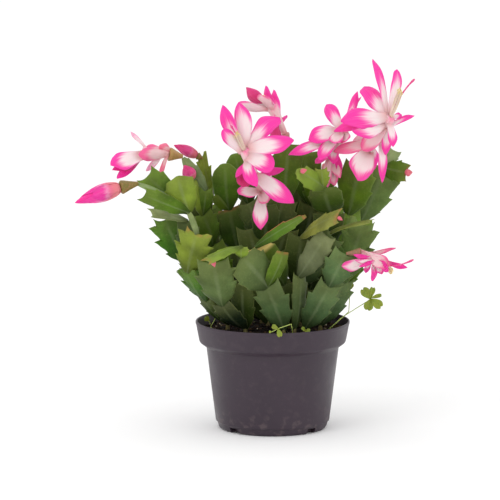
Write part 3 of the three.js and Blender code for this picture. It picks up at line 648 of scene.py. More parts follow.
def round_lattice(rings: int, sides: int) -> Lattice:
    """A closed round rod, for stalks, tubes, buds and stamens.

    Args:
        rings: How many strips it has from foot to tip.
        sides: How many it has round.

    Returns:
        The lattice, whose points are (0 to 1 along, then the x and y of a unit circle).
    """
    pick()
    bpy.ops.mesh.primitive_circle_add(vertices=sides, radius=1.0, fill_type="NGON")
    rod = bpy.context.object
    bpy.ops.object.mode_set(mode="EDIT")
    bpy.ops.mesh.select_all(action="SELECT")
    for _ in range(rings):
        bpy.ops.mesh.extrude_region_move(TRANSFORM_OT_translate={"value": (0, 0, 1 / rings)})
    bpy.ops.mesh.select_all(action="SELECT")
    bpy.ops.mesh.normals_make_consistent(inside=False)
    bpy.ops.object.mode_set(mode="OBJECT")
    return Lattice(rod, [(v.co.z, v.co.x, v.co.y) for v in rod.data.vertices])


def joined(name: str, pieces: Sequence[bpy.types.Object]) -> bpy.types.Object:
    """Several objects as one, smoothly shaded.

    Args:
        name: The name of the one object.
        pieces: The objects.

    Returns:
        The first of them, which now holds all.
    """
    pick(*pieces)
    whole = pieces[0]
    if len(pieces) > 1:
        bpy.ops.object.join()
    bpy.ops.object.shade_smooth()
    whole.name = name
    return whole


def fit(piece: bpy.types.Object, finish: bpy.types.Material, slot: str, *nodes: str) -> None:
    """Dress a piece, let it ride on the part, and hide the nodes that it stands for.

    Args:
        piece: The finished piece.
        finish: Its material.
        slot: The name of a material slot, which is not used.
        nodes: The nodes that it replaces.
    """
    piece.data.materials.clear()
    piece.data.materials.append(finish)
    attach(piece, BODY)
    if nodes:
        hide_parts(*nodes)
    log.info("%s: %d faces", piece.name, len(piece.data.polygons))


class Graph:
    """A material's node graph, with short methods for the nodes that these finishes need."""

    def __init__(self, name: str) -> None:
        """Start a material with only its surface shader and output.

        Args:
            name: The material's name.
        """
        self.material = bpy.data.materials.new(name)
        self.material.use_nodes = True
        self.nodes = self.material.node_tree.nodes
        self.links = self.material.node_tree.links
        self.shader = self.nodes["Principled BSDF"]

    def put(self, socket: bpy.types.NodeSocket, value: object) -> None:
        """Set a socket to a constant, or link it to another socket.

        Args:
            socket: The input.
            value: The constant or the other socket.
        """
        if isinstance(value, bpy.types.NodeSocket):
            self.links.new(value, socket)
        elif socket.type == "RGBA":
            socket.default_value = (*value, 1.0)
        else:
            socket.default_value = value

    def add(self, kind: str, inputs: dict[str | int, object]) -> bpy.types.Node:
        """A new node with some of its inputs set or linked.

        Args:
            kind: The node's kind, such as "Math".
            inputs: The constants or sockets, by the input's name or number.

        Returns:
            The node.
        """
        node = self.nodes.new(f"ShaderNode{kind}")
        for key, value in inputs.items():
            self.put(node.inputs[key], value)
        return node

    def surface(self, **values: object) -> None:
        """Set the shader's inputs by name, with underscores for spaces."""
        for name, value in values.items():
            self.put(self.shader.inputs[name.replace("_", " ")], value)

    def calc(self, operation: str, a: object, b: object = 0.0) -> bpy.types.NodeSocket:
        """One sum on two values.

        Args:
            operation: The operation's name.
            a: The first value or socket.
            b: The second.

        Returns:
            The result's socket.
        """
        node = self.add("Math", {0: a, 1: b})
        node.operation = operation
        return node.outputs[0]

    def times(self, *values: object) -> bpy.types.NodeSocket:
        """The product of two or more values or sockets."""
        return reduce(lambda a, b: self.calc("MULTIPLY", a, b), values)

    def plus(self, *values: object) -> bpy.types.NodeSocket:
        """The sum of two or more values or sockets."""
        return reduce(lambda a, b: self.calc("ADD", a, b), values)

    def step(
        self, value: object, low: float, high: float, out_low: float = 0.0, out_high: float = 1.0
    ) -> bpy.types.NodeSocket:
        """A value eased from one range to another.

        Args:
            value: The value or socket.
            low: Where the range starts.
            high: Where it ends.
            out_low: What is given at the start.
            out_high: What is given at the end.

        Returns:
            The result's socket.
        """
        node = self.add("MapRange", dict(enumerate((value, low, high, out_low, out_high))))
        node.interpolation_type = "SMOOTHSTEP"
        return node.outputs[0]

    def mix(self, share: object, a: object, b: object) -> bpy.types.NodeSocket:
        """One colour over another.

        Args:
            share: How much of the second there is.
            a: The first colour or socket.
            b: The second.

        Returns:
            The result's socket.
        """
        node = self.add("Mix", {"Factor": share})
        node.data_type = "RGBA"
        under, over = (socket for socket in node.inputs if socket.type == "RGBA")
        self.put(under, a)
        self.put(over, b)
        return next(socket for socket in node.outputs if socket.type == "RGBA")

    def place(self) -> bpy.types.NodeSocket:
        """The place on the object, in metres."""
        return self.nodes.new("ShaderNodeTexCoord").outputs["Object"]

    def noise(
        self, scale: float, detail: float = 3.0, where: object = None, stretch: Point | None = None
    ) -> bpy.types.NodeSocket:
        """A cloudy value from 0 to 1.

        Args:
            scale: How fine it is, in clouds per metre, or per unit of where.
            detail: How many finer layers it has.
            where: The place to read it at, the object's own by default.
            stretch: How the place is scaled along its three axes first.

        Returns:
            The value's socket.
        """
        node = self.add("TexNoise", {"Scale": scale, "Detail": detail})
        spot = where or self.place()
        if stretch:
            spot = self.add("Mapping", {"Scale": stretch, "Vector": spot}).outputs["Vector"]
        self.put(node.inputs["Vector"], spot)
        return node.outputs["Fac"]

    def marks(self, name: str) -> bpy.types.Node:
        """The node that reads one of the mesh's own attributes.

        Args:
            name: The attribute's name.

        Returns:
            The node.
        """
        node = self.add("Attribute", {})
        node.attribute_name = name
        return node

    def parts(self, vector: bpy.types.NodeSocket) -> tuple[bpy.types.NodeSocket, ...]:
        """The three numbers of a vector."""
        return tuple(self.add("SeparateXYZ", {0: vector}).outputs)

    def bump(self, height: object, distance: float, strength: float) -> None:
        """Raise the surface by a height pattern.

        Args:
            height: The pattern's socket.
            distance: How far its highest point stands out, in metres.
            strength: How much of it shows.
        """
        node = self.add("Bump", {"Distance": distance, "Strength": strength, "Height": height})
        self.surface(Normal=node.outputs["Normal"])


@dataclass(frozen=True)
class PadFinish:
    """The waxy skin of the pads: mottled green, lighter on the rib and edge, painted shade towards the foot,
    red or dry at a healed end.
    """

    edge: Point = linear("a5ab62")
    rib: Point = linear("98a47c")
    blush: Point = linear("b4634a")
    dry: Point = linear("ead07e")
    # the dark green of the mottle, and of the painted shade at each pad's foot
    shade: Point = linear("243015")
    roughness: float = 0.4
    cloud_scale: float = 70
    grain_scale: float = 500
    broad_scale: float = 26
    patch_scale: float = 160
    vein_slant: float = 0.45
    vein_pitch: float = 21.0
    relief: float = 0.0008

    def material(self) -> bpy.types.Material:
        """The finish as a material that reads each pad's own colour and the state of its end.

        Returns:
            The material.
        """
        g = Graph("pad_skin")
        tone = g.marks("Tone")
        healed = tone.outputs["Alpha"]
        along, across, _ = g.parts(g.marks("Leaf").outputs["Vector"])
        width = g.calc("ABSOLUTE", across)
        clouds = g.noise(self.cloud_scale, 4)
        grain = g.noise(self.grain_scale, 3)
        colour = g.mix(g.step(clouds, 0.38, 0.72, 0.0, 0.4), tone.outputs["Color"], self.shade)
        colour = g.mix(g.step(grain, 0.5, 0.8, 0.0, 0.12), colour, self.edge)
        # painted shade: darker towards the foot, where the pad tucks under the one below
        colour = g.mix(g.step(along, 0.0, 0.45, 0.65, 0.0), colour, self.shade)
        rib = g.times(g.step(width, 0.02, 0.2, 0.18, 0.0), g.step(along, 0.7, 1.0, 1.0, 0.15))
        colour = g.mix(rib, colour, self.rib)
        colour = g.mix(g.step(width, 0.92, 1.0, 0.0, 0.14), colour, self.edge)
        colour = g.mix(g.step(g.noise(self.broad_scale, 2), 0.35, 0.65, 0.0, 0.3), colour, self.shade)
        colour = g.mix(g.step(along, 0.45, 1.0, 0.0, 0.14), colour, self.edge)
        patchy = g.step(g.noise(self.patch_scale, 3), 0.35, 0.6)
        red = g.calc("MINIMUM", healed, 1.0)
        dried = g.calc("MAXIMUM", g.calc("SUBTRACT", healed, 1.0), 0.0)
        end = g.times(g.step(along, 0.92, 0.99), g.times(patchy, red))
        colour = g.mix(end, colour, self.blush)
        rim = g.times(g.step(across, -0.84, -0.94), g.step(along, 0.1, 0.4))
        rim = g.times(rim, g.step(healed, 0.8, 1.0))
        rim = g.times(rim, g.step(healed, 1.0, 1.4, 0.8, 0.0))
        colour = g.mix(rim, colour, self.blush)
        colour = g.mix(g.times(g.step(along, 0.8, 0.9), dried), colour, self.dry)
        g.surface(
            Base_Color=colour,
            Roughness=g.step(clouds, 0.3, 0.7, self.roughness - 0.05, self.roughness + 0.14),
            Subsurface_Weight=0.06,
            Subsurface_Radius=(0.004, 0.006, 0.002),
            Subsurface_Scale=0.4,
            Specular_IOR_Level=0.1,
        )
        slant = g.calc("SUBTRACT", along, g.times(width, self.vein_slant))
        veins = g.calc("ABSOLUTE", g.calc("SINE", g.times(slant, self.vein_pitch)))
        relief = g.plus(g.times(g.step(veins, 0.0, 0.25), 0.15), g.times(grain, 0.6))
        g.bump(g.plus(relief, g.times(clouds, 2.0)), self.relief, 0.5)
        return g.material


@dataclass(frozen=True)
class PetalFinish:
    """The petals: soft white in the middle, hot pink at their tips and thin margins, with fine veins."""

    foot: Point = linear("e3b2b2")
    white: Point = linear("efdadb")
    rose: Point = linear("f69cc0")
    pink: Point = linear("f52f9c")
    dark: Point = linear("b01a4c")
    salmon: Point = linear("ee8489")
    roughness: float = 0.5
    streaks: Point = (1.2, 7.0, 1.0)
    veins: Point = (1.0, 24.0, 1.0)
    grain_scale: float = 500
    relief: float = 0.0006

    def material(self) -> bpy.types.Material:
        """The finish as a material that reads each petal's own reach of pink, darkness and salmon.

        Returns:
            The material.
        """
        g = Graph("petal_silk")
        tone = g.marks("Tone")
        wrapped = tone.outputs["Alpha"]
        reach, darkness, salmon = g.parts(tone.outputs["Vector"])
        leaf = g.marks("Leaf").outputs["Vector"]
        along, across, side = g.parts(leaf)
        width = g.calc("ABSOLUTE", across)
        streaks = g.noise(1.0, 3, leaf, self.streaks)
        wobble = g.times(g.calc("SUBTRACT", streaks, 0.5), 0.4)
        flat = g.step(wrapped, 0.0, 0.3, 1.0, 0.0)
        outward = g.times(across, across, 0.34, flat)
        outside = g.step(side, 1.0, -1.0, 0.0, 0.1)
        spread = g.plus(g.plus(along, outward), g.plus(wobble, outside))
        spread = g.plus(spread, g.times(reach, 0.55))
        margin = g.times(g.step(width, 0.84, 1.0, 0.0, 0.75), g.step(along, 0.05, 0.45))
        amount = g.calc("MAXIMUM", g.step(spread, 0.62, 1.02), g.times(margin, flat))
        colour = g.mix(g.step(along, 0.0, 0.36), self.foot, self.white)
        closed = g.step(wrapped, 0.3, 1.0)
        colour = g.mix(closed, colour, g.mix(g.step(along, 0.1, 0.7), self.salmon, self.pink))
        colour = g.mix(g.step(amount, 0.0, 0.6), colour, self.rose)
        colour = g.mix(g.step(amount, 0.3, 1.0), colour, self.pink)
        colour = g.mix(g.times(salmon, g.step(amount, 0.0, 0.5, 0.65, 1.0)), colour, self.salmon)
        colour = g.mix(g.calc("MAXIMUM", darkness, 0.0), colour, self.dark)
        colour = g.mix(g.calc("MAXIMUM", g.times(darkness, -1.0), 0.0), colour, self.white)
        veins = g.noise(1.0, 2, leaf, self.veins)
        colour = g.mix(g.step(veins, 0.5, 0.72, 0.0, 0.22), colour, self.rose)
        g.surface(
            Base_Color=colour,
            Roughness=self.roughness,
            Subsurface_Weight=0.25,
            Subsurface_Radius=(0.006, 0.003, 0.004),
            Subsurface_Scale=0.4,
            Specular_IOR_Level=0.3,
        )
        g.bump(g.plus(veins, g.times(g.noise(self.grain_scale, 2), 0.3)), self.relief, 0.6)
        return g.material


@dataclass(frozen=True)
class SoftFinish:
    """A plain soft plant finish that takes its colour from the piece: seed bases, stamens and weeds."""

    name: str
    mottle: Point
    mottle_share: float
    roughness: float = 0.5
    grain_scale: float = 600.0
    relief: float = 0.0003

    def material(self) -> bpy.types.Material:
        """The finish as a material that reads each piece's own colour.

        Returns:
            The material.
        """
        g = Graph(self.name)
        tone = g.marks("Tone")
        clouds = g.noise(self.grain_scale, 3)
        colour = g.mix(g.step(clouds, 0.4, 0.75, 0.0, self.mottle_share), tone.outputs["Color"], self.mottle)
        g.surface(
            Base_Color=colour,
            Roughness=self.roughness,
            Subsurface_Weight=0.2,
            Subsurface_Radius=(0.003, 0.003, 0.001),
            Subsurface_Scale=0.4,
        )
        g.bump(clouds, self.relief, 0.5)
        return g.material


@dataclass(frozen=True)
class PotFinish:
    """The pot's thin dark plastic: satin, a little dusty towards its foot, with faint scuffs and splashes."""

    plastic: Point = linear("2f222e")
    light: Point = linear("3a2d38")
    dust: Point = linear("665758")
    roughness: float = 0.42
    cloud_scale: float = 28
    scuff_scale: float = 170
    speck_scale: float = 900
    dust_top: float = 0.026
    dust_full: float = 0.002
    relief: float = 0.00025

    def material(self) -> bpy.types.Material:
        """The finish as a material.

        Returns:
            The material.
        """
        g = Graph("pot_plastic")
        _, _, height = g.parts(g.place())
        clouds = g.noise(self.cloud_scale, 4)
        scuffs = g.noise(self.scuff_scale, 5)
        specks = g.noise(self.speck_scale, 2)
        colour = g.mix(g.step(clouds, 0.35, 0.7, 0.0, 0.45), self.plastic, self.light)
        low = g.step(height, self.dust_top, self.dust_full)
        splash = g.times(g.step(scuffs, 0.5, 0.68), g.plus(g.times(low, 0.4), 0.07))
        colour = g.mix(splash, colour, self.dust)
        colour = g.mix(g.times(g.step(specks, 0.68, 0.74), 0.22), colour, self.dust)
        g.surface(
            Base_Color=colour,
            Roughness=g.step(clouds, 0.3, 0.7, self.roughness - 0.08, self.roughness + 0.12),
            Specular_IOR_Level=0.45,
        )
        g.bump(g.plus(scuffs, g.times(specks, 0.5)), self.relief, 0.35)
        return g.material


@dataclass(frozen=True)
class SoilFinish:
    """Moist potting soil, with the colour of each crumb from the mesh."""

    dark: Point = linear("0e0a08")
    light: Point = linear("1f1713")
    cloud_scale: float = 260
    grain_scale: float = 1400
    relief: float = 0.0012

    def material(self) -> bpy.types.Material:
        """The finish as a material that reads each crumb's own colour.

        Returns:
            The material.
        """
        g = Graph("potting_soil")
        tone = g.marks("Tone")
        clouds = g.noise(self.cloud_scale, 6)
        colour = g.mix(g.step(clouds, 0.35, 0.7), self.dark, self.light)
        colour = g.mix(tone.outputs["Alpha"], colour, tone.outputs["Color"])
        g.surface(Base_Color=colour, Roughness=0.95, Specular_IOR_Level=0.2)
        g.bump(g.plus(clouds, g.noise(self.grain_scale, 3)), self.relief, 0.9)
        return g.material


@dataclass
class PadShape:
    """The outline and section of a pad.

    The outline is in shares of the pad's length and of half its width: a smooth line through its knots, the
    teeth down its left and right as (where, how far out), how far its corners stand past its tip (horn), and
    how soon after a tooth the next one starts to rise, and how sharply. The section is half the thickness, in
    millimetres, of the pad's body, its edge, the ridge on its rib and its neck.
    """

    knots: Sequence[tuple[float, float]]
    left: Sequence[tuple[float, float]]
    right: Sequence[tuple[float, float]]
    horn: float
    drop: float = 0.03
    sharpness: float = 3.2
    body: float = 1.15
    edge: float = 0.28
    ridge: float = 0.55
    neck: float = 1.3
    first_rise: float = 0.04
    close: float = 0.001
    hook_reach: float = 0.22
    hook_width: float = 0.07
    ridge_width: float = 0.09
    neck_length: float = 0.14
    tip_length: float = 0.06
    tip_share: float = 0.35

    def teeth(self, across: float) -> Sequence[tuple[float, float]]:
        """The teeth on one side, which is given by its sign."""
        return self.right if across > 0 else self.left

    def half_width(self, along: float, across: float) -> float:
        """Half the pad's width on one side, with its teeth.

        Args:
            along: How far along the pad.
            across: The side, by its sign.

        Returns:
            The share of half the width.
        """
        plain = along_knots(self.knots, along)
        start = self.first_rise
        for at, size in self.teeth(across):
            if along <= at + self.close:
                rise = max(0.0, (along - start) / (at - start))
                return plain * (1 + size * rise**self.sharpness)
            start = at + self.drop
        return plain

    def hook(self, along: float, across: float) -> float:
        """How far a tooth's point leans on towards the pad's tip.

        Args:
            along: How far along the pad.
            across: The side, by its sign.

        Returns:
            The share of the pad's length.
        """
        near = [(size, smooth_step(self.hook_width, 0.0, abs(along - at))) for at, size in self.teeth(across)]
        return sum(size * self.hook_reach * share for size, share in near)

    def half_thickness(self, along: float, across: float) -> float:
        """Half the pad's thickness: full at the rib, thin at the edge, round at the neck.

        Args:
            along: How far along the pad.
            across: How far across, from -1 to 1.

        Returns:
            Half the thickness, in millimetres.
        """
        swell = self.edge + (self.body - self.edge) * max(0.0, 1 - abs(across) ** 2.4) ** 0.7
        ridge = self.ridge * math.exp(-((across / self.ridge_width) ** 2)) * (1 - 0.7 * along)
        neck = smooth_step(self.neck_length, 0.0, along)
        end = smooth_step(1.0, 1.0 - self.tip_length, along)
        flat = (swell + ridge) * (self.tip_share + (1 - self.tip_share) * end) * (1 - neck)
        return flat + self.neck * neck * math.sqrt(max(0.04, 1 - across**2))


PAD_SHAPES = {
    Edge.TOOTHED: PadShape(
        knots=((0, 0.22), (0.1, 0.42), (0.28, 0.74), (0.5, 0.86), (0.72, 0.89), (0.9, 0.8), (1, 0.64)),
        left=((0.275, 0.12), (0.525, 0.18), (0.8, 0.2), (1.0, 0.18)),
        right=((0.35, 0.16), (0.65, 0.2), (1.0, 0.2)),
        horn=0.05,
    ),
    Edge.HORNED: PadShape(
        knots=((0, 0.2), (0.1, 0.36), (0.3, 0.7), (0.5, 0.8), (0.72, 0.82), (0.9, 0.74), (1, 0.6)),
        left=((0.25, 0.18), (0.5, 0.28), (0.775, 0.32), (1.0, 0.28)),
        right=((0.35, 0.22), (0.675, 0.32), (1.0, 0.32)),
        horn=0.05,
    ),
    Edge.SPIKED: PadShape(
        knots=((0, 0.24), (0.1, 0.4), (0.3, 0.68), (0.5, 0.76), (0.72, 0.78), (0.9, 0.7), (1, 0.5)),
        left=((0.225, 0.3), (0.45, 0.46), (0.7, 0.5), (0.95, 0.42)),
        right=((0.3, 0.34), (0.575, 0.5), (0.85, 0.5), (1.0, 0.3)),
        horn=0.05,
    ),
    Edge.SCALLOPED: PadShape(
        knots=((0, 0.22), (0.1, 0.46), (0.28, 0.8), (0.5, 0.92), (0.72, 0.95), (0.9, 0.86), (1, 0.72)),
        left=((0.4, 0.06), (0.75, 0.1), (1.0, 0.03)),
        right=((0.5, 0.08), (0.825, 0.1), (1.0, 0.04)),
        horn=0.0,
    ),
    Edge.TAPERED: PadShape(
        knots=((0, 0.3), (0.12, 0.54), (0.3, 0.84), (0.5, 0.92), (0.7, 0.8), (0.88, 0.52), (1, 0.24)),
        left=((0.3, 0.14), (0.6, 0.2), (0.875, 0.18), (1.0, 0.0)),
        right=((0.4, 0.16), (0.725, 0.2), (1.0, 0.0)),
        horn=0.0,
    ),
    Edge.ROUNDED: PadShape(
        knots=((0, 0.22), (0.1, 0.46), (0.28, 0.82), (0.5, 0.96), (0.7, 0.98), (0.88, 0.84), (1, 0.52)),
        left=((0.4, 0.03), (0.75, 0.05), (1.0, 0.0)),
        right=((0.5, 0.04), (0.825, 0.05), (1.0, 0.0)),
        horn=-0.06,
    ),
    Edge.POINTED: PadShape(
        knots=(
            (0, 0.26), (0.12, 0.52), (0.3, 0.8), (0.5, 0.92), (0.7, 0.96), (0.86, 0.82), (0.94, 0.52),
            (1, 0.14),
        ),
        left=((0.325, 0.08), (0.6, 0.12), (0.85, 0.12), (1.0, 0.0)),
        right=((0.4, 0.1), (0.7, 0.14), (0.9, 0.1), (1.0, 0.0)),
        horn=0.0,
    ),
    Edge.STRAP: PadShape(
        knots=((0, 0.8), (0.1, 0.9), (0.3, 1.0), (0.6, 1.0), (0.85, 0.9), (1, 0.6)),
        left=((1.0, 0.0),),
        right=((1.0, 0.0),),
        horn=0.0,
    ),
}


@dataclass
class Foliage:
    """All the stems: woody roots and chains of toothed pads.

    Bow, sway, curl and the overlap at a joint are shares of a pad's length or half width. The root's sizes
    and the wave of a pad's edge are millimetres.
    """

    strips_along: int = 40
    strips_across: int = 14
    bow: float = 0.05
    sway: float = 0.025
    curl: float = 0.13
    curl_range: tuple[float, float] = (-0.3, 1.0)
    wave: float = 0.35
    joint_overlap: float = 0.02
    twist_degrees: float = 7.0
    tint: float = 0.12
    root_bottom: float = 72.0
    root_top: float = 89.0
    root_overlap: float = 1.5
    root_radius: float = 2.6
    root_taper: float = 0.35
    root_lumps: float = 0.08
    root_strips: int = 8
    root_sides: int = 10
    root_tone: Point = linear("6b5a3c")
    seed: int = 11
    pad: Lattice = field(init=False)
    rod: Lattice = field(init=False)

    def __post_init__(self) -> None:
        """Model the lattices that the pads and roots are copied from."""
        self.pad = sheet_lattice(self.strips_along, self.strips_across)
        self.rod = round_lattice(self.root_strips, self.root_sides)

    def pad_piece(self, name: str, foot: Vector, row: Pad, chance: random.Random) -> bpy.types.Object:
        """One pad from its joint to its tip.

        Args:
            name: The piece's name.
            foot: The tip of the pad or root below.
            row: The pad's row in the layout.
            chance: The source of its small differences.

        Returns:
            The new object.
        """
        tip = Vector(row.tip)
        along = tip - foot
        length = along.length
        along.normalize()
        turn, rise = (math.radians(angle) for angle in row.looks)
        facing = Vector((math.sin(turn) * math.cos(rise), -math.cos(turn) * math.cos(rise), math.sin(rise)))
        normal = square_to(along, facing)
        across = along.cross(normal)
        shape = PAD_SHAPES[row.edge]
        flip = chance.choice((-1, 1))
        sway = chance.uniform(-self.sway, self.sway)
        curl = chance.uniform(*self.curl_range) * self.curl
        twist = math.radians(chance.uniform(-self.twist_degrees, self.twist_degrees))
        phase = chance.uniform(0, 6)

        def place(u: float, v: float, side: float) -> Vector:
            """The place of one point of the pad, in millimetres.

            Args:
                u: How far along the pad.
                v: How far across it, from -1 to 1.
                side: 1 on its face, -1 on its back.

            Returns:
                The place.
            """
            half = shape.half_width(u, v * flip) * row.width / 2
            reach = u + abs(v) ** 3 * (shape.horn * u**6 + shape.hook(u, v * flip))
            reach -= self.joint_overlap * (1 - u)
            lean = math.sin(twist * u)
            bow = 4 * u * (1 - u)
            out = self.bow * length * bow - curl * v * v * half * (1 - 0.5 * u) + lean * v * half
            out += self.wave * math.sin(3.1 * v + 5 * u + phase) * abs(v) * smooth_step(0.1, 0.3, u)
            out += side * shape.half_thickness(u, v)
            return foot + along * (reach * length) + across * (v * half + sway * length * bow) + normal * out

        shade = 1 + chance.uniform(-self.tint, self.tint)
        warm = 1 + chance.uniform(-self.tint, self.tint)
        red, green, blue = row.tone.value
        tone = (red * shade * warm, green * shade, blue * shade / warm, row.end.value)
        return self.pad.shaped(name, place, tone)

    def root_piece(self, name: str, at: tuple[float, float]) -> bpy.types.Object:
        """The woody root of a stem, from under the soil to its first pad.

        Args:
            name: The piece's name.
            at: Where it stands.

        Returns:
            The new object.
        """

        def place(u: float, x: float, y: float) -> Vector:
            """The place of one point of the root, in millimetres.

            Args:
                u: How far up the root.
                x: The first number of its place on a unit circle.
                y: The second.

            Returns:
                The place.
            """
            lumps = 1 + self.root_lumps * math.sin(9 * u + 3 * x)
            radius = self.root_radius * (1 - self.root_taper * u) * lumps
            height = self.root_bottom + (self.root_top + self.root_overlap - self.root_bottom) * u
            return Vector((at[0] + x * radius, at[1] + y * radius, height))

        return self.rod.shaped(name, place, (*self.root_tone, 0.0))

    def build(self, finish: bpy.types.Material) -> None:
        """Build every stem and put it in place of its node.

        Args:
            finish: The pads' material.
        """
        chance = random.Random(self.seed)
        for name, stem in STEMS.items():
            pieces = [self.root_piece(f"{name}_root", stem.root)]
            start = Vector((*stem.root, self.root_top))
            tips: list[Vector] = []
            for i, row in enumerate(stem.pads):
                foot = start if row.below < 0 else tips[row.below]
                pieces.append(self.pad_piece(f"{name}_pad_{i}", foot, row, chance))
                tips.append(Vector(row.tip))
            fit(joined(f"pads_{name}", pieces), finish, "pads", f"stem_{name}")


@dataclass
class Flowers:
    """The six open flowers: tube, layered petals, seed base, stamens and style.

    Cup, bulge, ripple, curl, twist, lean, skew and bow are shares of a piece's own width or length. The other
    lengths are millimetres.
    """

    strips_along: int = 26
    strips_across: int = 12
    half_thickness: float = 0.26
    foot_thickness: float = 0.25
    groove_depth: float = 0.22
    groove_width: float = 0.12
    cup: float = 0.16
    bulge: float = 0.16
    bend_at: float = 0.4
    ripple: float = 0.04
    curl: float = 0.06
    twist: float = 0.25
    lean: float = 0.05
    skew: float = 0.1
    petal_root: float = 0.9
    off_axis_share: float = 0.6
    tube_radius: float = 2.7
    throat_radius: float = 4.4
    tube_grooves: int = 6
    tube_groove_depth: float = 0.07
    seed_gap: float = 0.35
    seed_ribs: int = 5
    seed_rib_depth: float = 0.05
    stamen_count: int = 26
    stamen_radius: float = 0.26
    stamen_ring: float = 1.4
    stamen_root: float = 1.0
    stamen_flare: float = 0.8
    stamen_bow: float = 0.12
    stamen_lengths: tuple[float, float] = (0.78, 1.0)
    stamen_spread: float = 2.6
    anther_overlap: float = 0.3
    anther_length: float = 1.6
    anther_radius: float = 0.55
    style_bend: float = 0.9
    style_radius: float = 0.7
    stigma_radius: float = 1.0
    filament_tone: Point = linear("e8d2bc")
    anther_tone: Point = linear("e3cd8c")
    style_tone: Point = linear("d8247e")
    seed: int = 5
    seed_knots: Sequence[tuple[float, float]] = (
        (0, 0.3), (0.12, 0.38), (0.5, 0.68), (0.8, 0.96), (0.94, 1.02), (1, 0.84),
    )
    pointed: Sequence[tuple[float, float]] = (
        (0, 0.42), (0.14, 0.52), (0.34, 0.76), (0.54, 0.96), (0.68, 1.0),
        (0.81, 0.83), (0.91, 0.5), (0.965, 0.25), (1, 0.04),
    )
    blunt: Sequence[tuple[float, float]] = (
        (0, 0.42), (0.14, 0.5), (0.34, 0.7), (0.54, 0.9), (0.72, 1.0),
        (0.85, 0.98), (0.93, 0.84), (0.975, 0.56), (1, 0.1),
    )
    sheet: Lattice = field(init=False)
    rod: Lattice = field(init=False)
    tube: Lattice = field(init=False)

    def __post_init__(self) -> None:
        """Model the lattices that the flowers' pieces are copied from."""
        self.sheet = sheet_lattice(self.strips_along, self.strips_across)
        self.rod = round_lattice(10, 6)
        self.tube = round_lattice(16, 20)

    def petal_piece(
        self, name: str, foot: Vector, tip: Vector, looks: Vector, outward: Vector, row: Petal,
        chance: random.Random,
    ) -> bpy.types.Object:
        """One petal, which leaves the tube towards where the flower looks and bends over to its tip.

        Args:
            name: The piece's name.
            foot: Where it leaves the tube.
            tip: Its tip.
            looks: The way that the flower looks.
            outward: The way that the petal spreads, square to that.
            row: The petal's row in the layout.
            chance: The source of its small differences.

        Returns:
            The new object.
        """
        reach = (tip - foot).length
        bend = foot.lerp(tip, self.bend_at) + looks * (self.bulge * reach)
        across = outward.cross(looks).normalized()
        if across.x + 0.5 * across.z < 0:
            across = -across
        phase = chance.uniform(0, 6)
        twist = chance.uniform(-self.twist, self.twist)
        lean = chance.uniform(-self.lean, self.lean)
        skew = row.lean + chance.uniform(-self.skew, self.skew)

        def place(u: float, v: float, side: float) -> Vector:
            """The place of one point of the petal, in millimetres.

            Args:
                u: How far along the petal.
                v: How far across it, from -1 to 1.
                side: 1 on its face, -1 on its back.

            Returns:
                The place.
            """
            point, tangent = bezier(foot, bend, tip, u)
            normal = across.cross(tangent).normalized()
            shape = (1 - row.blunt) * along_knots(self.pointed, u) + row.blunt * along_knots(self.blunt, u)
            half = shape * row.width / 2
            fold = -self.cup * row.width * v * v * math.sin(math.pi * min(1.0, 0.15 + u * 0.8))
            fold += self.ripple * row.width * math.sin(11 * u + phase) * abs(v) ** 3 * math.copysign(1, v)
            fold -= self.curl * reach * smooth_step(0.7, 1.0, u) ** 2
            fold += twist * v * half * u
            thick = self.half_thickness * (1 - 0.55 * abs(v) ** 3) * (1 - 0.4 * u)
            thick += self.foot_thickness * (1 - smooth_step(0.0, 0.2, u))
            groove = -self.groove_depth * math.exp(-((v / self.groove_width) ** 2)) * (1 - u)
            sideways = across * (v * half + lean * reach * math.sin(math.pi * u))
            sideways += across * (skew * row.width * smooth_step(0.72, 1.0, u))
            return point + sideways + normal * (fold + side * thick + groove)

        return self.sheet.shaped(name, place, (*row.tone.value, 0.0))

    def round_piece(
        self, name: str, lattice: Lattice, start: Vector, bend: Vector, end: Vector,
        radius: Callable[[float, float], float], tone: Sequence[float],
    ) -> bpy.types.Object:
        """A round piece along a curve.

        Args:
            name: The piece's name.
            lattice: The rod to copy.
            start: Where it starts.
            bend: The point that pulls its middle.
            end: Where it ends.
            radius: Its radius for how far along and which way round, in radians.
            tone: Four numbers that the finish reads.

        Returns:
            The new object.
        """
        way = (end - start).normalized()
        side = way.orthogonal().normalized()

        def place(u: float, x: float, y: float) -> Vector:
            """The place of one point of the piece, in millimetres.

            Args:
                u: How far along the piece.
                x: The first number of its place on a unit circle.
                y: The second.

            Returns:
                The place.
            """
            point, tangent = bezier(start, bend, end, u)
            first = square_to(tangent, side)
            second = tangent.cross(first)
            size = radius(u, math.atan2(y, x))
            return point + (first * x + second * y) * size

        return lattice.shaped(name, place, tone)

    def seed_piece(
        self, name: str, foot: Vector, end: Vector, size: float, tone: Sequence[float]
    ) -> bpy.types.Object:
        """A ribbed seed base between a pad's tip and a flower's tube or a bud.

        Args:
            name: The piece's name.
            foot: The pad's tip.
            end: Where the tube or the bud starts.
            size: Its greatest radius.
            tone: Four numbers that the finish reads.

        Returns:
            The new object.
        """
        start = foot + (end - foot).normalized() * self.seed_gap

        def radius(u: float, turn: float) -> float:
            """The seed base's radius, with its soft ribs."""
            ribs = self.seed_rib_depth * math.cos(self.seed_ribs * turn) * math.sin(math.pi * u)
            return size * along_knots(self.seed_knots, u) * (1 + ribs)

        return self.round_piece(name, self.tube, start, start.lerp(end, 0.5), end, radius, tone)

    def petals(self, name: str, bloom: Bloom, chance: random.Random) -> list[bpy.types.Object]:
        """A flower's tube and all its petals.

        Args:
            name: The flower's name.
            bloom: Its layout.
            chance: The source of small differences.

        Returns:
            The objects.
        """
        seed, throat = Vector(bloom.seed), Vector(bloom.throat)
        axis = (throat - seed).normalized()
        looks = Vector(bloom.looks).normalized()

